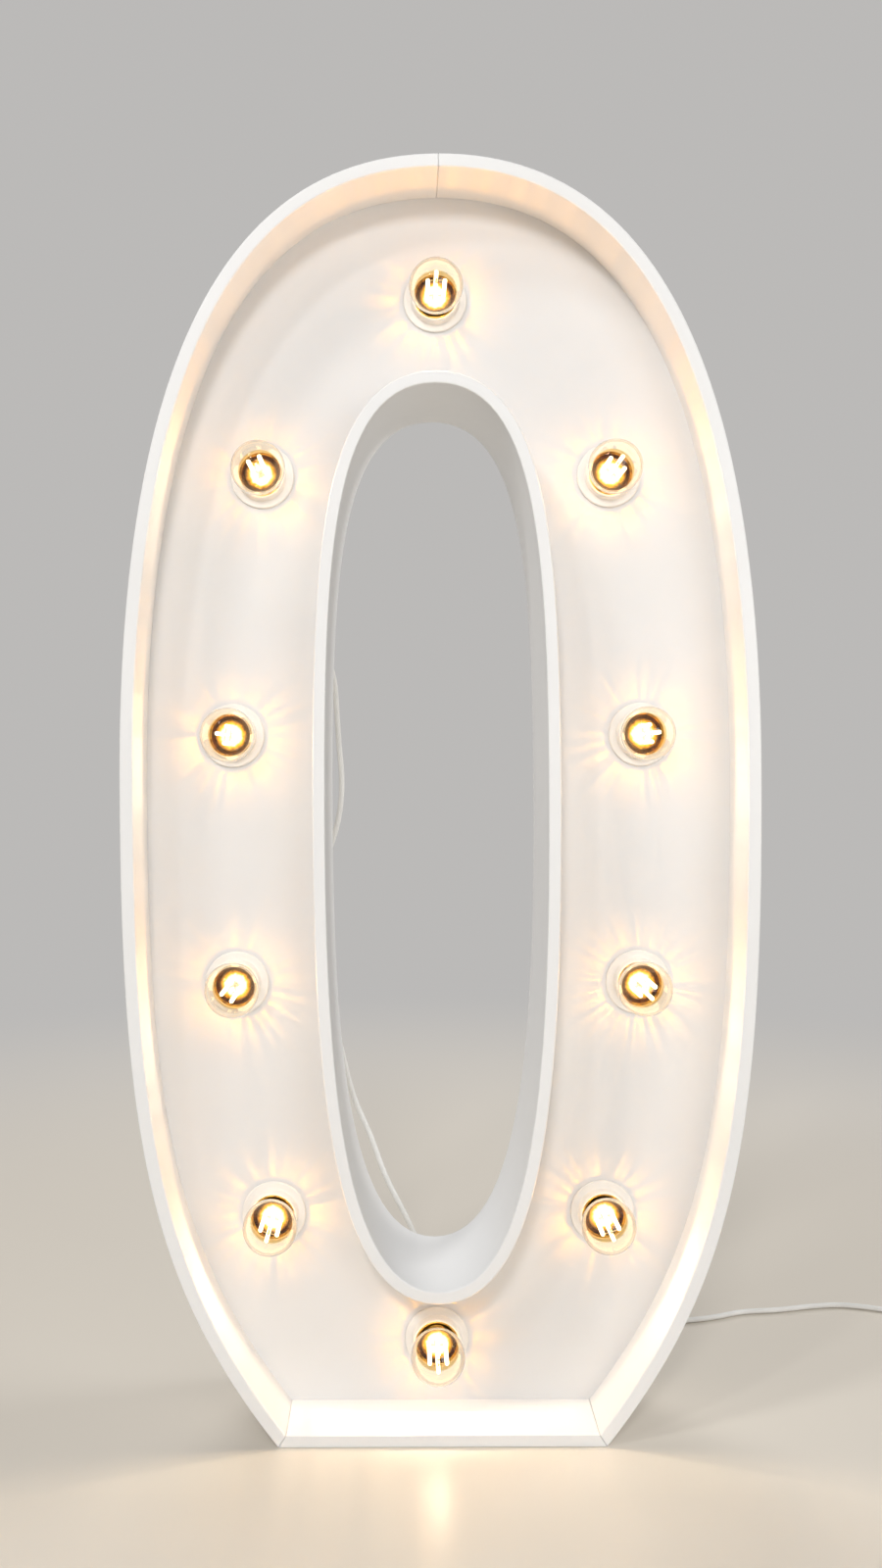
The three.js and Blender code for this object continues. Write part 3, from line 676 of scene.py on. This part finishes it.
def build_case():
    build_outer_wall(1, "outer_wall_right")
    build_outer_wall(-1, "outer_wall_left")
    build_inner_wall()
    build_base()
    panel = flat_board(
        "lamp_panel_board",
        figure_ring(OUTER_WALL - PANEL_TUCK, BASE - PANEL_TUCK),
        [hole_ring(INNER_WALL - PANEL_TUCK)] + [circle(s, CUP_RADIUS + GAP) for s in SPOTS],
        PANEL,
        PANEL_THICKNESS,
        PANEL_EASE,
        PANEL_PAINT_SHADED,
    )
    finish_piece(panel, "panel_paint", "lamp_panel")
    exit_hole = circle((EXIT_X, EXIT_Z), SHANK_RADIUS + GAP, 32)
    screw_holes = [circle(spot, SCREW_RADIUS + GAP, 16) for spot in screw_spots()]
    cover = flat_board(
        "rear_cover_board",
        figure_ring(COVER_INSET, COVER_INSET),
        [hole_ring(COVER_INSET), exit_hole] + screw_holes,
        DEPTH - COVER,
        COVER,
        COVER_EASE,
        COVER_BOARD,
    )
    finish_piece(cover, "cover_board", "rear_cover")


# Cord


CORD_RADIUS = 2.8
# Height of the cord's middle where it lies on the ground
ON_GROUND = 2.85
# The coil's middle, inner radius and pitch, its turns on the ground and on top of them, the rise
# between the two, and the knots in a turn
COIL_X, COIL_D, COIL_INNER, COIL_PITCH = 577.0, 251.0, 22.5, 7.0
LOWER_TURNS, UPPER_TURNS, COIL_RISE, COIL_STEPS = 3, 2.75, 6.6, 24
COIL_OUTER = COIL_INNER + LOWER_TURNS * COIL_PITCH
# Knots of the free stretch: place along X, distance behind the front edge, height
CORD_KNOTS = [
    (-128, 159, 785.7), (-128, 159, 780.1), (-123, 158, 758), (-112, 157.5, 741),
    (-106, 157, 720), (-103.5, 157, 690), (-101, 157, 652), (-98.6, 157, 622),
    (-98.6, 157, 604), (-102.5, 157, 574), (-111, 157, 545), (-121, 156, 515), (-127, 155, 488),
    (-128, 154.2, 465), (-128, 154.2, 445), (-124, 155.5, 415), (-115, 157, 383),
    (-104.5, 159, 352), (-87, 163, 284), (-69.5, 168, 241), (-55, 173, 200), (-30, 180, 147),
    (-8, 187, 95), (14, 194, 48), (34, 200, 20), (60, 207, 6.4), (92, 216, 3.4),
    (140, 231, 2.95), (205, 252, ON_GROUND), (268, 268, ON_GROUND), (316, 280, ON_GROUND),
    (352, 294, ON_GROUND), (396, 300, ON_GROUND), (440, 310, ON_GROUND), (470, 313, ON_GROUND),
    (498, 307, ON_GROUND), (522, 298, ON_GROUND), (544, 295.5, ON_GROUND),
    (COIL_X - 13.9, COIL_D + COIL_OUTER, ON_GROUND),
]
CORD_ROUTE = [(x, behind(depth), z) for x, depth, z in CORD_KNOTS]


def through(points, name, radius, finish):
    """A round tube on a smooth curve that runs through all the points, in millimetres."""
    pts = [Vector(p) for p in points]
    full = [pts[0] * 2 - pts[1]] + pts + [pts[-1] * 2 - pts[-2]]
    data = bpy.data.curves.new(name, "CURVE")
    data.dimensions = "3D"
    spline = data.splines.new("BEZIER")
    spline.bezier_points.add(len(pts) - 1)
    for i, knot in enumerate(spline.bezier_points):
        before, here, after = full[i : i + 3]
        d1, d2 = (here - before).length ** 0.5, (after - here).length ** 0.5
        arriving = (here - before) / d1 / d1 * d2 / (d1 + d2)
        leaving = (after - here) / d2 / d2 * d1 / (d1 + d2)
        slope = arriving + leaving
        knot.co = here * MM
        knot.handle_left = (here - slope * d1 * d1 / 3) * MM
        knot.handle_right = (here + slope * d2 * d2 / 3) * MM
    spline.resolution_u = 6
    data.bevel_depth = radius * MM
    data.bevel_resolution = 6
    data.use_fill_caps = True
    data.materials.append(finish)
    return new_object(name, data)


def coil_points():
    """Knots of the coil: inwards on the ground, up, outwards on top and into the plug."""
    points = [(COIL_X - 8, behind(COIL_D) + COIL_OUTER, ON_GROUND)]
    top = ON_GROUND + COIL_RISE

    def add(turn, radius, z):
        angle = math.pi / 2 - turn * 2 * math.pi
        x, y = radius * math.cos(angle), radius * math.sin(angle)
        points.append((COIL_X + x, behind(COIL_D) + y, z))

    for i in range(LOWER_TURNS * COIL_STEPS):
        add(i / COIL_STEPS, COIL_OUTER - COIL_PITCH * i / COIL_STEPS, ON_GROUND)
    rising = COIL_STEPS // 2
    for i in range(rising):
        add(LOWER_TURNS + i / COIL_STEPS, COIL_INNER, ON_GROUND + COIL_RISE * smooth_step(i / rising))
    for i in range(int(UPPER_TURNS * COIL_STEPS) + 1):
        add(LOWER_TURNS + 0.5 + i / COIL_STEPS, COIL_INNER + COIL_PITCH * i / COIL_STEPS, top)
    points = [Vector(p) for p in points]
    heading = points[-1] - points[-2]
    heading.z = 0
    heading.normalize()
    fall = Vector((0, 0, top - PLUG_HALF_HEIGHT))
    bend = points[-1] + heading * 14 - fall
    points += [bend, bend + heading * 8]
    return points, heading


# Along the plug's axis from the face with the pins: its body, the taper behind it and the sleeve;
# then the widths at both ends of the taper
PLUG_BODY, PLUG_TAPER, PLUG_SLEEVE = 30, 10, 20
PLUG_WIDTH, TAPER_WIDTH, PLUG_HALF_HEIGHT = 34, 13, 7.5
PLUG_STATIONS = [0, 0.4, 1.2, 2.5, 5, 8, 10, 12, 14, 16, 18, 20, 24, 28, 30]
PLUG_STATIONS += [31.5, 33, 34.5, 36, 37.5, 39, 39.7, 40]
PLUG_SEGMENTS = 32
GRIP_GROOVES, GROOVE_DEPTH = (8, 12, 16, 20), 0.7
FACE_EASE, FACE_EASE_LENGTH = 0.8, 1.2
# Below 1 the section is squarer than an ellipse
SECTION_POWER = 0.45
SLEEVE_START = PLUG_BODY + PLUG_TAPER - 2.5
SLEEVE_RIBS = [
    (5.0, SLEEVE_START), (5.0, 41), (4.4, 42), (4.9, 43), (4.9, 45), (4.2, 46), (4.6, 47),
    (4.5, 49), (3.9, 50), (4.3, 51), (4.1, 53), (3.6, 54), (3.9, 55), (3.6, 60),
]
PIN_PROFILE = [(0, 1), (2, 1), (2, -17), (1.6, -18.4), (0.8, -19), (0, -19)]
PIN_PLACES = (-9.5, 9.5)


def plug_section(y):
    beyond = (y - PLUG_BODY) / PLUG_TAPER
    if y <= PLUG_BODY:
        waist = 1 - math.sin(math.pi * min(y / 24, 1))
        half, tall = (PLUG_WIDTH - 1.5 * waist) / 2, PLUG_HALF_HEIGHT
    else:
        half = (PLUG_WIDTH + (TAPER_WIDTH - PLUG_WIDTH) * smooth_step(beyond)) / 2
        tall = PLUG_HALF_HEIGHT - 1.6 * beyond**1.5
    if y < FACE_EASE_LENGTH:
        ease = FACE_EASE * (1 - y / FACE_EASE_LENGTH) ** 2
        half, tall = half - ease, tall - ease
    if y in GRIP_GROOVES:
        half -= GROOVE_DEPTH
    ring = []
    for angle in turn_angles(PLUG_SEGMENTS):
        c, s = math.cos(angle), math.sin(angle)
        x = half * math.copysign(abs(c) ** SECTION_POWER, c)
        z = tall * math.copysign(abs(s) ** SECTION_POWER, s)
        ring.append((x, y, z))
    return ring


def build_plug(end, heading):
    """A flat two-pin plug with grip grooves and a ribbed sleeve, lying where the coil ends."""
    turn = Matrix.Rotation(math.atan2(heading.x, -heading.y), 4, "Z")
    reach = PLUG_BODY + PLUG_TAPER + PLUG_SLEEVE + GAP
    place = Matrix.Translation(end + heading * reach) @ turn
    sleeve = [(0, SLEEVE_START)] + rounded(SLEEVE_RIBS, 0.5, 2) + [(0, 60)]
    corners, faces, slots = joined(
        (*swept([plug_section(y) for y in PLUG_STATIONS], False), 0),
        (*turned(sleeve, 28), 0),
        *((*turned(PIN_PROFILE, 20, (x, 0, 0)), 1) for x in PIN_PLACES),
    )
    corners = [place @ Vector(corner) for corner in corners]
    made = piece("supply_plug", corners, faces, [FITTING_PLASTIC, PIN_METAL], 40, slots)
    return finish_piece(made, "fitting_plastic", "plug")


def build_cord():
    coil_path, heading = coil_points()
    cord = through(CORD_ROUTE + coil_path, "supply_cord", CORD_RADIUS, CORD_PLASTIC)
    finish_piece(cord, "cord_plastic", "cord_lead", "cord_coil")
    plug = build_plug(coil_path[-1], heading)


# Lamps: profiles are (radius, distance behind the panel's front)


HOLDER_FLOOR, HOLDER_BACK = 25.8, 36
HOLDER_PROFILE = [
    (13.5, HOLDER_FLOOR), (13.5, 3), (19.6, -12.8), (20.9, -14), (23.0, -13.2), (23.8, -3.3),
    (30.2, -3.3), (31, -2.5), (31, -0.3), (CUP_RADIUS, -0.3), (CUP_RADIUS, 33),
    (17, HOLDER_BACK),
]
# Faces inside the first radius form the holder's throat, painted dark as shade, but for its cup,
# which lies behind and outside the next two; throat faces outside the last are the rim of its mouth
THROAT_RADIUS, CUP_FRONT, CUP_INSIDE, RIM_RADIUS = 21.2, -0.5, 16, 18.9

CAP_RADIUS, CAP_START, CAP_END = 13.2, -2.1, 21.5
CAP_SEGMENTS, CAP_ROWS = 40, 56
CAP_TAIL = [(CAP_RADIUS, CAP_END), (9, 24), (4.5, 24.2), (4.5, 25.3), (0, 25.5)]
THREAD_PITCH, THREAD_DEPTH = 3.629, 0.55
# Where the thread begins, and over what length it deepens and fades
THREAD_START, THREAD_IN, THREAD_OUT = 2.0, 3.0, 2.0

NECK = [(13, -2.4), (13.6, -4), (15.2, -8), (17.0, -13), (17.7, -17), (18.7, -21)]
GLOBE_CENTRE, GLOBE_RADIUS, GLOBE_START, GLOBE_STEPS = 43, 26, math.radians(54), 14
GLASS_WALL = 0.9
# The neck's glass is deeper in colour back from here
NECK_FRONT = -28.5

FLARE_RADIUS, FLARE_THICKNESS, FLARE_SEGMENTS = 15.4, 0.5, 48
FLARE_PROFILE = [
    (2.2, -10.5), (5, -10.8), (8, -11.2), (10.5, -11.6), (12.5, -12.0), (14.2, -12.5),
    (FLARE_RADIUS, -13.0),
]

STEM = [
    (0, -2.4), (6, -2.4), (5.2, -5), (2.6, -10), (2.0, -14), (1.7, -40), (1.0, -60), (0.5, -62),
    (0, -62),
]
STICK = [(0, -15.2), (1.4, -15.6), (1.9, -17), (1.9, -56), (1.4, -57.4), (0, -57.8)]
# Distance of the sticks from the stem, half the thickness of their wires, and where these cross
STICK_REACH, WIRE_HALF, WIRE_CROSSES = 8.0, 0.25, (-16, -57)
# How far the sticks of each bulb are turned, in degrees
STICK_TURNS = [0, 37, 83, 60, 72, 0, 16, 81, 8, 20]


def holder_mesh(name, centre):
    eased = rounded(HOLDER_PROFILE, 1.3, 4)
    profile = [(0, HOLDER_FLOOR)] + eased + [(0, HOLDER_BACK)]
    corners, faces = turned(profile, 56, centre)
    cx, cy, cz = centre
    slots = []
    for face in faces:
        spots = [corners[i] for i in face]
        y = sum(spot[1] for spot in spots) / len(spots) - cy
        r = sum(math.hypot(x - cx, z - cz) for x, _, z in spots) / len(spots)
        cup = y > CUP_FRONT and r > CUP_INSIDE
        painted_throat = r < THROAT_RADIUS and y < HOLDER_FLOOR + 0.1 and not cup
        slots.append((2 if r > RIM_RADIUS else 1) if painted_throat else 0)
    return piece(name, corners, faces, [HOLDER_PLASTIC, HOLDER_THROAT_SHADE, HOLDER_MOUTH], 35, slots)


def cap_radius(y, angle):
    """The radius of the screw shell, less the thread's groove, which is a helix."""
    phase = 2 * math.pi * y / THREAD_PITCH + angle
    fade_in = min(1.0, max(0.0, (y - THREAD_START) / THREAD_IN))
    fade_out = min(1.0, max(0.0, (CAP_END - y) / THREAD_OUT))
    return CAP_RADIUS - THREAD_DEPTH * (fade_in * fade_out) * (0.5 - 0.5 * math.cos(phase))


def cap_mesh(name, centre):
    """The metal cap: a screw shell with a closed front and a contact at its rear end."""
    cx, cy, cz = centre
    rings = []
    for j in range(CAP_ROWS + 1):
        y = CAP_START + (CAP_END - CAP_START) * j / CAP_ROWS
        spokes = [(cap_radius(y, a), math.sin(a), math.cos(a)) for a in turn_angles(CAP_SEGMENTS)]
        rings.append([(cx + r * sine, cy + y, cz + r * cosine) for r, sine, cosine in spokes])
    shell = swept(rings, False, caps=False)
    corners, faces, _ = joined((*shell, 0), (*turned(CAP_TAIL, CAP_SEGMENTS, centre), 0))
    faces.append(tuple(reversed(range(CAP_SEGMENTS))))
    return piece(name, corners, faces, [CAP_METAL], 50, weld=True)


def glass_profile():
    """The outside of the glass from its pole to its neck, then its inside back to the pole."""
    outside = list(NECK)
    for i in range(GLOBE_STEPS + 1):
        angle = GLOBE_START + (math.pi - GLOBE_START) * i / GLOBE_STEPS
        radius = GLOBE_RADIUS * math.sin(angle) if i < GLOBE_STEPS else 0
        outside.append((radius, -GLOBE_CENTRE + GLOBE_RADIUS * math.cos(angle)))
    inside = [(NECK[0][0] - GLASS_WALL, NECK[0][1])]
    for radius, y in outside[1:-1]:
        lift = max(0.0, -(y + GLOBE_CENTRE) / GLOBE_RADIUS) * GLASS_WALL
        inside.append((radius - GLASS_WALL, y + lift))
    inside.append((0, outside[-1][1] + GLASS_WALL))
    return outside[::-1] + inside


def glass_mesh(name, centre):
    corners, faces = turned(glass_profile(), 72, centre)
    fronts = [min(corners[i][1] for i in face) - centre[1] for face in faces]
    slots = [1 if front > NECK_FRONT else 0 for front in fronts]
    return piece(name, corners, faces, [AMBER_GLASS, NECK_GLASS], 60, slots)


def flare_mesh(name, centre):
    """The flared glass in the neck: a shallow dish behind the filament."""
    rear = [(radius, y + FLARE_THICKNESS) for radius, y in reversed(FLARE_PROFILE)]
    rings = [circle_corners(centre, *spot, FLARE_SEGMENTS) for spot in FLARE_PROFILE + rear]
    corners, faces = swept(rings, True)
    made = piece(name, corners, faces, [FLARE_PAINTED_GLOW], 60)
    rim = made.data.attributes.new("rim", "FLOAT", "POINT")
    places = [vertex.co / MM for vertex in made.data.vertices]
    radii = [math.hypot(place.x - centre[0], place.z - centre[2]) for place in places]
    rim.data.foreach_set("value", [radius / FLARE_RADIUS for radius in radii])
    return made


def wire(middle, direction):
    side = Vector((direction.z, 0, -direction.x)) * WIRE_HALF
    rise = Vector((0, WIRE_HALF, 0))
    rings = []
    for reach in (0.0, STICK_REACH):
        spot = middle + direction * reach
        ring = (spot + side + rise, spot - side + rise, spot - side - rise, spot + side - rise)
        rings.append([tuple(corner) for corner in ring])
    return swept(rings, False)


def filament_mesh(name, centre, turn):
    """Four glowing sticks round a glass stem, joined by wire crosses."""
    cx, cy, cz = centre
    angles = [math.radians(turn + 90 * i) for i in range(4)]
    parts = [(*turned(STEM, 20, centre), 1)]
    for angle in angles:
        foot = (cx + STICK_REACH * math.sin(angle), cy, cz + STICK_REACH * math.cos(angle))
        parts.append((*turned(STICK, 16, foot), 0))
    for y in WIRE_CROSSES:
        for angle in angles:
            direction = Vector((math.sin(angle), 0, math.cos(angle)))
            parts.append((*wire(Vector((cx, cy + y, cz)), direction), 2))
    corners, faces, slots = joined(*parts)
    return piece(name, corners, faces, [FILAMENT_GLOW, AMBER_GLASS, WIRE_PAINTED_GLOW], 50, slots)


def build_lamps():
    for i, (x, z) in enumerate(SPOTS):
        number = "%02d" % (i + 1)
        centre = (x, behind(PANEL), z)
        bulb = "bulb_" + number
        holder = holder_mesh("holder_" + number, centre)
        finish_piece(holder, "holder_plastic", "lampholder_" + number)
        shell = cap_mesh("cap_shell_" + number, centre)
        finish_piece(shell, "cap_metal", "bulb_cap_" + number, body="cap_" + number)
        globe = glass_mesh("globe_" + number, centre)
        finish_piece(globe, "amber_glass", "bulb_glass_" + number, body=bulb)
        flare = flare_mesh("flare_" + number, centre)
        finish_piece(flare, "amber_glass", body=bulb)
        sticks = filament_mesh("filament_" + number, centre, STICK_TURNS[i])
        finish_piece(sticks, "filament_glow", "bulb_filament_" + number, body=bulb)
        # The bulb's light starts inside it, so what is in the bulb casts no shadow
        for made in (globe, flare, sticks):
            made.visible_shadow = made.visible_diffuse = False


# Wiring and rear fittings: their profiles are (radius, distance behind the cover's back)


CORD_STAND_OFF = 9.0
SHANK_PROFILE = [
    (0, -8.3), (8.2, -8.3), (9, -7.7), (9, -4.3), (SHANK_RADIUS, -4.3), (SHANK_RADIUS, GAP),
    (8.4, GAP), (9, 0.9),
]
ELBOW_PROFILE = [
    (9, 1.9), (8.3, 2.5), (7.2, 2.6), (6.5, 3.3), (6.5, 9), (6.1, 11.2), (4.8, 13), (2.6, 14),
    (0, 14.2),
]
# The sleeve round the cord below the elbow, and its ribs
SLEEVE_RADIUS, SLEEVE_LENGTH, SLEEVE_TAPER = 5.6, 26, 1.5
RIBS, RIB_START, RIB_PITCH, RIB_DEPTH = 6, 6.0, 3.2, 1.1

CLIP_Z, CLIP_LENGTH, CLIP_EASE, CLIP_BORE = 455.0, 10, 0.35, 3.2
# Height of the cord's middle in the clip, radius of the hump over it, thickness of the feet, and
# half the widths of the clip and of the arch
CLIP_AXIS, CLIP_HUMP, CLIP_FOOT, CLIP_HALF_WIDTH, ARCH_HALF_WIDTH = 4.2, 4.8, 2.2, 9, 5.4
CLIP_PIN_REACH = 7.1
CLIP_PIN = [
    (0, 0.5), (0.7, 0.5), (0.7, CLIP_FOOT), (1.5, CLIP_FOOT), (1.45, 2.5), (0.9, 2.9),
    (0, 3.05),
]
SCREW_PROFILE = [
    (0, -18), (0.9, -16.5), (SCREW_RADIUS, -14.5), (SCREW_RADIUS, GAP), (3.6, GAP), (3.6, 0.8),
    (3.1, 1.7), (2.0, 2.0), (1.25, 2.0), (1.1, 1.0), (0, 0.8),
]


INSIDE = {
    "terminal_block": BLOCK_PLASTIC,
    "wiring_harness": CABLE_PLASTIC,
    "supply_tail": CABLE_PLASTIC,
}


def dress_inside():
    """No side shows the wiring space, so its solids keep their shape and only take a finish."""
    for node_name, finish in INSIDE.items():
        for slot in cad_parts[node_name].material_slots:
            slot.material = finish


def build_gland():
    """The strain relief: nut and shank through the cover, an elbow and a ribbed sleeve."""
    elbow = turned(SHANK_PROFILE + ELBOW_PROFILE, 40, (EXIT_X, behind(DEPTH), EXIT_Z))
    profile = [(0, 0), (SLEEVE_RADIUS, 0), (SLEEVE_RADIUS, 5.5)]
    for i in range(RIBS):
        start = RIB_START + i * RIB_PITCH
        full = SLEEVE_RADIUS - SLEEVE_TAPER * start / SLEEVE_LENGTH
        inner = full - RIB_DEPTH
        profile += [(inner, start), (inner, start + 0.9), (full, start + 1.3)]
        profile.append((full - 0.15, start + 2.7))
    profile += [(4.05, 25.3), (3.7, SLEEVE_LENGTH), (0, SLEEVE_LENGTH)]
    upright, sides = turned(profile, 32)
    axis = behind(DEPTH + CORD_STAND_OFF)
    sleeve = [(EXIT_X + x, axis + z, EXIT_Z - y) for x, y, z in upright]
    corners, faces, _ = joined((*elbow, 0), (sleeve, sides, 0))
    made = piece("cord_gland_moulding", corners, faces, [FITTING_PLASTIC], 50)
    finish_piece(made, "fitting_plastic", "cord_gland")


def build_clip():
    """A low saddle over the cord, held by a pin through each foot."""
    angles = [math.pi * i / 24 for i in range(25)]
    arc = [(CLIP_HUMP * math.cos(a), CLIP_AXIS + CLIP_HUMP * math.sin(a)) for a in angles]
    right = [(ARCH_HALF_WIDTH, CLIP_FOOT), (CLIP_HUMP, CLIP_FOOT + 0.6)]
    left = [(-x, z) for x, z in reversed(right)]
    outline = [(-CLIP_HALF_WIDTH, GAP), (CLIP_HALF_WIDTH, GAP), (CLIP_HALF_WIDTH, CLIP_FOOT)]
    outline += right + arc + left + [(-CLIP_HALF_WIDTH, CLIP_FOOT)]
    bore = circle((0, CLIP_AXIS), CLIP_BORE, 32)
    place = Matrix.Translation((EXIT_X * MM, behind(DEPTH) * MM, CLIP_Z * MM))
    made = slab(
        "cable_clip_saddle", outline, [bore], CLIP_LENGTH, CLIP_EASE, place, FITTING_PLASTIC
    )
    finish_piece(made, "fitting_plastic", "cable_clip")
    for side, x in (("left", -CLIP_PIN_REACH), ("right", CLIP_PIN_REACH)):
        corners, faces = turned(CLIP_PIN, 20, (EXIT_X + x, behind(DEPTH), CLIP_Z))
        head = piece("clip_pin_" + side, corners, faces, [SCREW_STEEL], 40)
        finish_piece(head, "screw_steel")


def build_screws():
    for i, spot in enumerate(screw_spots()):
        number = "%02d" % (i + 1)
        corners, faces = turned(SCREW_PROFILE, 24, (spot.x, behind(DEPTH), spot.y))
        made = piece("screw_" + number, corners, faces, [SCREW_STEEL], 40)
        finish_piece(made, "screw_steel", "cover_screw_" + number)


# Floor, background and light: places and sizes in metres, energies in watts


BACKGROUND = (0.5, 0.49, 0.48, 1)
WORLD_LIGHT, WORLD_STRENGTH = (1.0, 0.99, 0.98, 1), 0.18
FLOOR_COLOUR, FLOOR_ROUGHNESS, FLOOR_HALF = (0.69, 0.635, 0.555), 0.35, 12.0
# Distances from the figure between which the floor turns into the background
FLOOR_FADE = (0.7, 2.4)
# Name, place, height of the point that it is turned to, size, energy, and whether gloss shows it
STUDIO_LIGHTS = [
    ("key", (-0.35, -2.9, 1.95), 0.6, 0.42, 32, False),
    ("sparkle", (-1.25, -2.2, 2.5), 0.6, 0.2, 10, True),
    ("side", (-1.75, -1.7, 3.3), 0.6, 0.48, 27, False),
    ("fill", (1.3, -2.7, 1.0), 0.5, 1.4, 19, True),
    ("rear", (-0.5, 3.0, 2.2), 0.6, 1.6, 56, False),
    ("right", (3.0, 0.7, 1.7), 0.6, 1.4, 42, False),
]
BULB_ENERGY, BULB_LIGHT_RADIUS = 0.118, 0.0012
# A bulb's light leaves it this far in front of the panel, in millimetres
BULB_LIGHT_REACH = 36
BULB_AMBER = (1.0, 0.4, 0.01)
BULB_PALE = (1.0, 0.84, 0.62)
# How the light of a bulb changes with the upward or the backward part of a ray's direction: from
# and to in that part, and what the light is multiplied by at either
BY_HEIGHT = (-1.0, 1.0, 1.15, 0.58)
SIDEWAYS = (0.05, 0.22, 2.75, 0.06)
BACKWARDS = (0.34, 0.66, 0.0, 0.72)
FORWARDS = (-0.7, -0.35, 0.4, 1.0)
# How strongly the uneven rays show, and how far the light turns from pale to amber
RAYS_SHOWN = (0.12, 0.36, 0.25, 1.0)
PALE_BELOW = (-0.9, 0.9, 1.0, 0.0)
PALE_SIDEWAYS = (0.12, 0.42, 1.0, 0.0)
# From noise to the strength of a ray
RAY_STRENGTH = (0.42, 0.6, 0.15, 2.2)


def looked_at(tree):
    """1 for rays that see the background, also in gloss or glass, else 0."""
    path = add_node(tree, "LightPath")
    seen = path.outputs["Is Camera Ray"]
    for ray in ("Is Glossy Ray", "Is Transmission Ray"):
        seen = maths(tree, "MAXIMUM", seen, path.outputs[ray])
    return seen


def mixed(tree, share, first, second):
    """The first shader where the share is 0, and the second where it is 1."""
    mix = add_node(tree, "MixShader")
    tree.links.new(share, mix.inputs["Fac"])
    tree.links.new(first, mix.inputs[1])
    tree.links.new(second, mix.inputs[2])
    return mix.outputs["Shader"]


def build_floor():
    half = FLOOR_HALF
    mesh = bpy.data.meshes.new("floor")
    corners = [(x, y, 0) for x, y in ((-half, -half), (half, -half), (half, half), (-half, half))]
    mesh.from_pydata(corners, [], [(0, 1, 2, 3)])
    floor = new_object("floor", mesh)
    made, tree, shader = new_material("floor", FLOOR_COLOUR, FLOOR_ROUGHNESS)
    distance = add_node(tree, "VectorMath", operation="LENGTH")
    tree.links.new(object_point(tree), distance.inputs[0])
    fade = span(tree, distance.outputs["Value"], *FLOOR_FADE, smooth=True)
    share = maths(tree, "MULTIPLY", fade, looked_at(tree))
    light = add_node(tree, "Emission", Color=BACKGROUND)
    surface = mixed(tree, share, shader.outputs["BSDF"], light.outputs["Emission"])
    tree.links.new(surface, tree.nodes["Material Output"].inputs["Surface"])
    mesh.materials.append(made)


def build_world():
    world = bpy.data.worlds.new("world")
    scene.world = world
    world.use_nodes = True
    tree = world.node_tree
    tree.nodes.clear()
    light = add_node(tree, "Background", Color=WORLD_LIGHT, Strength=WORLD_STRENGTH)
    shown = add_node(tree, "Background", Color=BACKGROUND, Strength=1.0)
    output = add_node(tree, "OutputWorld")
    surface = mixed(tree, looked_at(tree), light.outputs[0], shown.outputs[0])
    tree.links.new(surface, output.inputs["Surface"])


def area_light(name, place, target_height, size, energy, glossy):
    data = bpy.data.lights.new(name, "AREA")
    data.size = size
    data.energy = energy
    lamp = new_object(name, data)
    lamp.visible_glossy = glossy
    lamp.location = place
    heading = Vector((0, 0, target_height)) - Vector(place)
    lamp.rotation_euler = heading.to_track_quat("-Z", "Y").to_euler()


def ray_noise(tree, sideways, upwards, turn):
    """Noise by a ray's bearing round the bulb's axis, and each bulb's own."""
    flat = add_node(tree, "CombineXYZ")
    tree.links.new(sideways, flat.inputs["X"])
    tree.links.new(upwards, flat.inputs["Y"])
    unit = maths(tree, "NORMALIZE", flat.outputs[0], kind="VectorMath")
    offset = (turn * 3.7, turn * 1.1, turn * 0.5)
    moved = maths(tree, "ADD", unit, offset, kind="VectorMath")
    rays = add_node(tree, "TexNoise", Scale=13.0, Detail=2.0, Roughness=0.55)
    tree.links.new(moved, rays.inputs["Vector"])
    return rays.outputs["Fac"]


def bulb_light(name, place, turn):
    """The light of one bulb: amber, weaker along its axis, and uneven round it."""
    data = bpy.data.lights.new(name, "POINT")
    data.energy = BULB_ENERGY
    data.shadow_soft_size = BULB_LIGHT_RADIUS
    data.use_nodes = True
    tree = data.node_tree
    tree.nodes.clear()
    direction = add_node(tree, "TexCoord")
    split = add_node(tree, "SeparateXYZ")
    tree.links.new(direction.outputs["Normal"], split.inputs[0])
    sideways, backwards, upwards = split.outputs
    rays = ray_noise(tree, sideways, upwards, turn)
    petals = span(tree, rays, *RAY_STRENGTH, smooth=True)
    shown = span(tree, backwards, *RAYS_SHOWN, smooth=True)
    strength = maths(tree, "MULTIPLY_ADD", maths(tree, "SUBTRACT", petals, 1.0), shown, 1.0)
    around = span(tree, backwards, *SIDEWAYS, smooth=True)
    rear = span(tree, backwards, *BACKWARDS, smooth=True)
    factors = (
        span(tree, upwards, *BY_HEIGHT),
        maths(tree, "ADD", around, rear),
        span(tree, backwards, *FORWARDS),
    )
    for factor in factors:
        strength = maths(tree, "MULTIPLY", strength, factor)
    below = span(tree, upwards, *PALE_BELOW)
    paleness = maths(tree, "MULTIPLY", below, span(tree, backwards, *PALE_SIDEWAYS))
    tint = ramp(tree, paleness, [(0.0, BULB_AMBER), (1.0, BULB_PALE)])
    emit = add_node(tree, "Emission")
    tree.links.new(strength, emit.inputs["Strength"])
    tree.links.new(tint, emit.inputs["Color"])
    output = add_node(tree, "OutputLight")
    tree.links.new(emit.outputs[0], output.inputs["Surface"])
    lamp = new_object(name, data)
    lamp.location = place


def light_bulbs():
    for i, (x, z) in enumerate(SPOTS):
        place = (x * MM, behind(PANEL - BULB_LIGHT_REACH) * MM, z * MM)
        bulb_light("bulb_light_%02d" % (i + 1), place, i + 1)


add_camera()
build_cord()
build_case()
build_lamps()
build_screws()
dress_inside()
build_gland()
build_clip()
build_floor()
build_world()
for row in STUDIO_LIGHTS:
    area_light(*row)
light_bulbs()
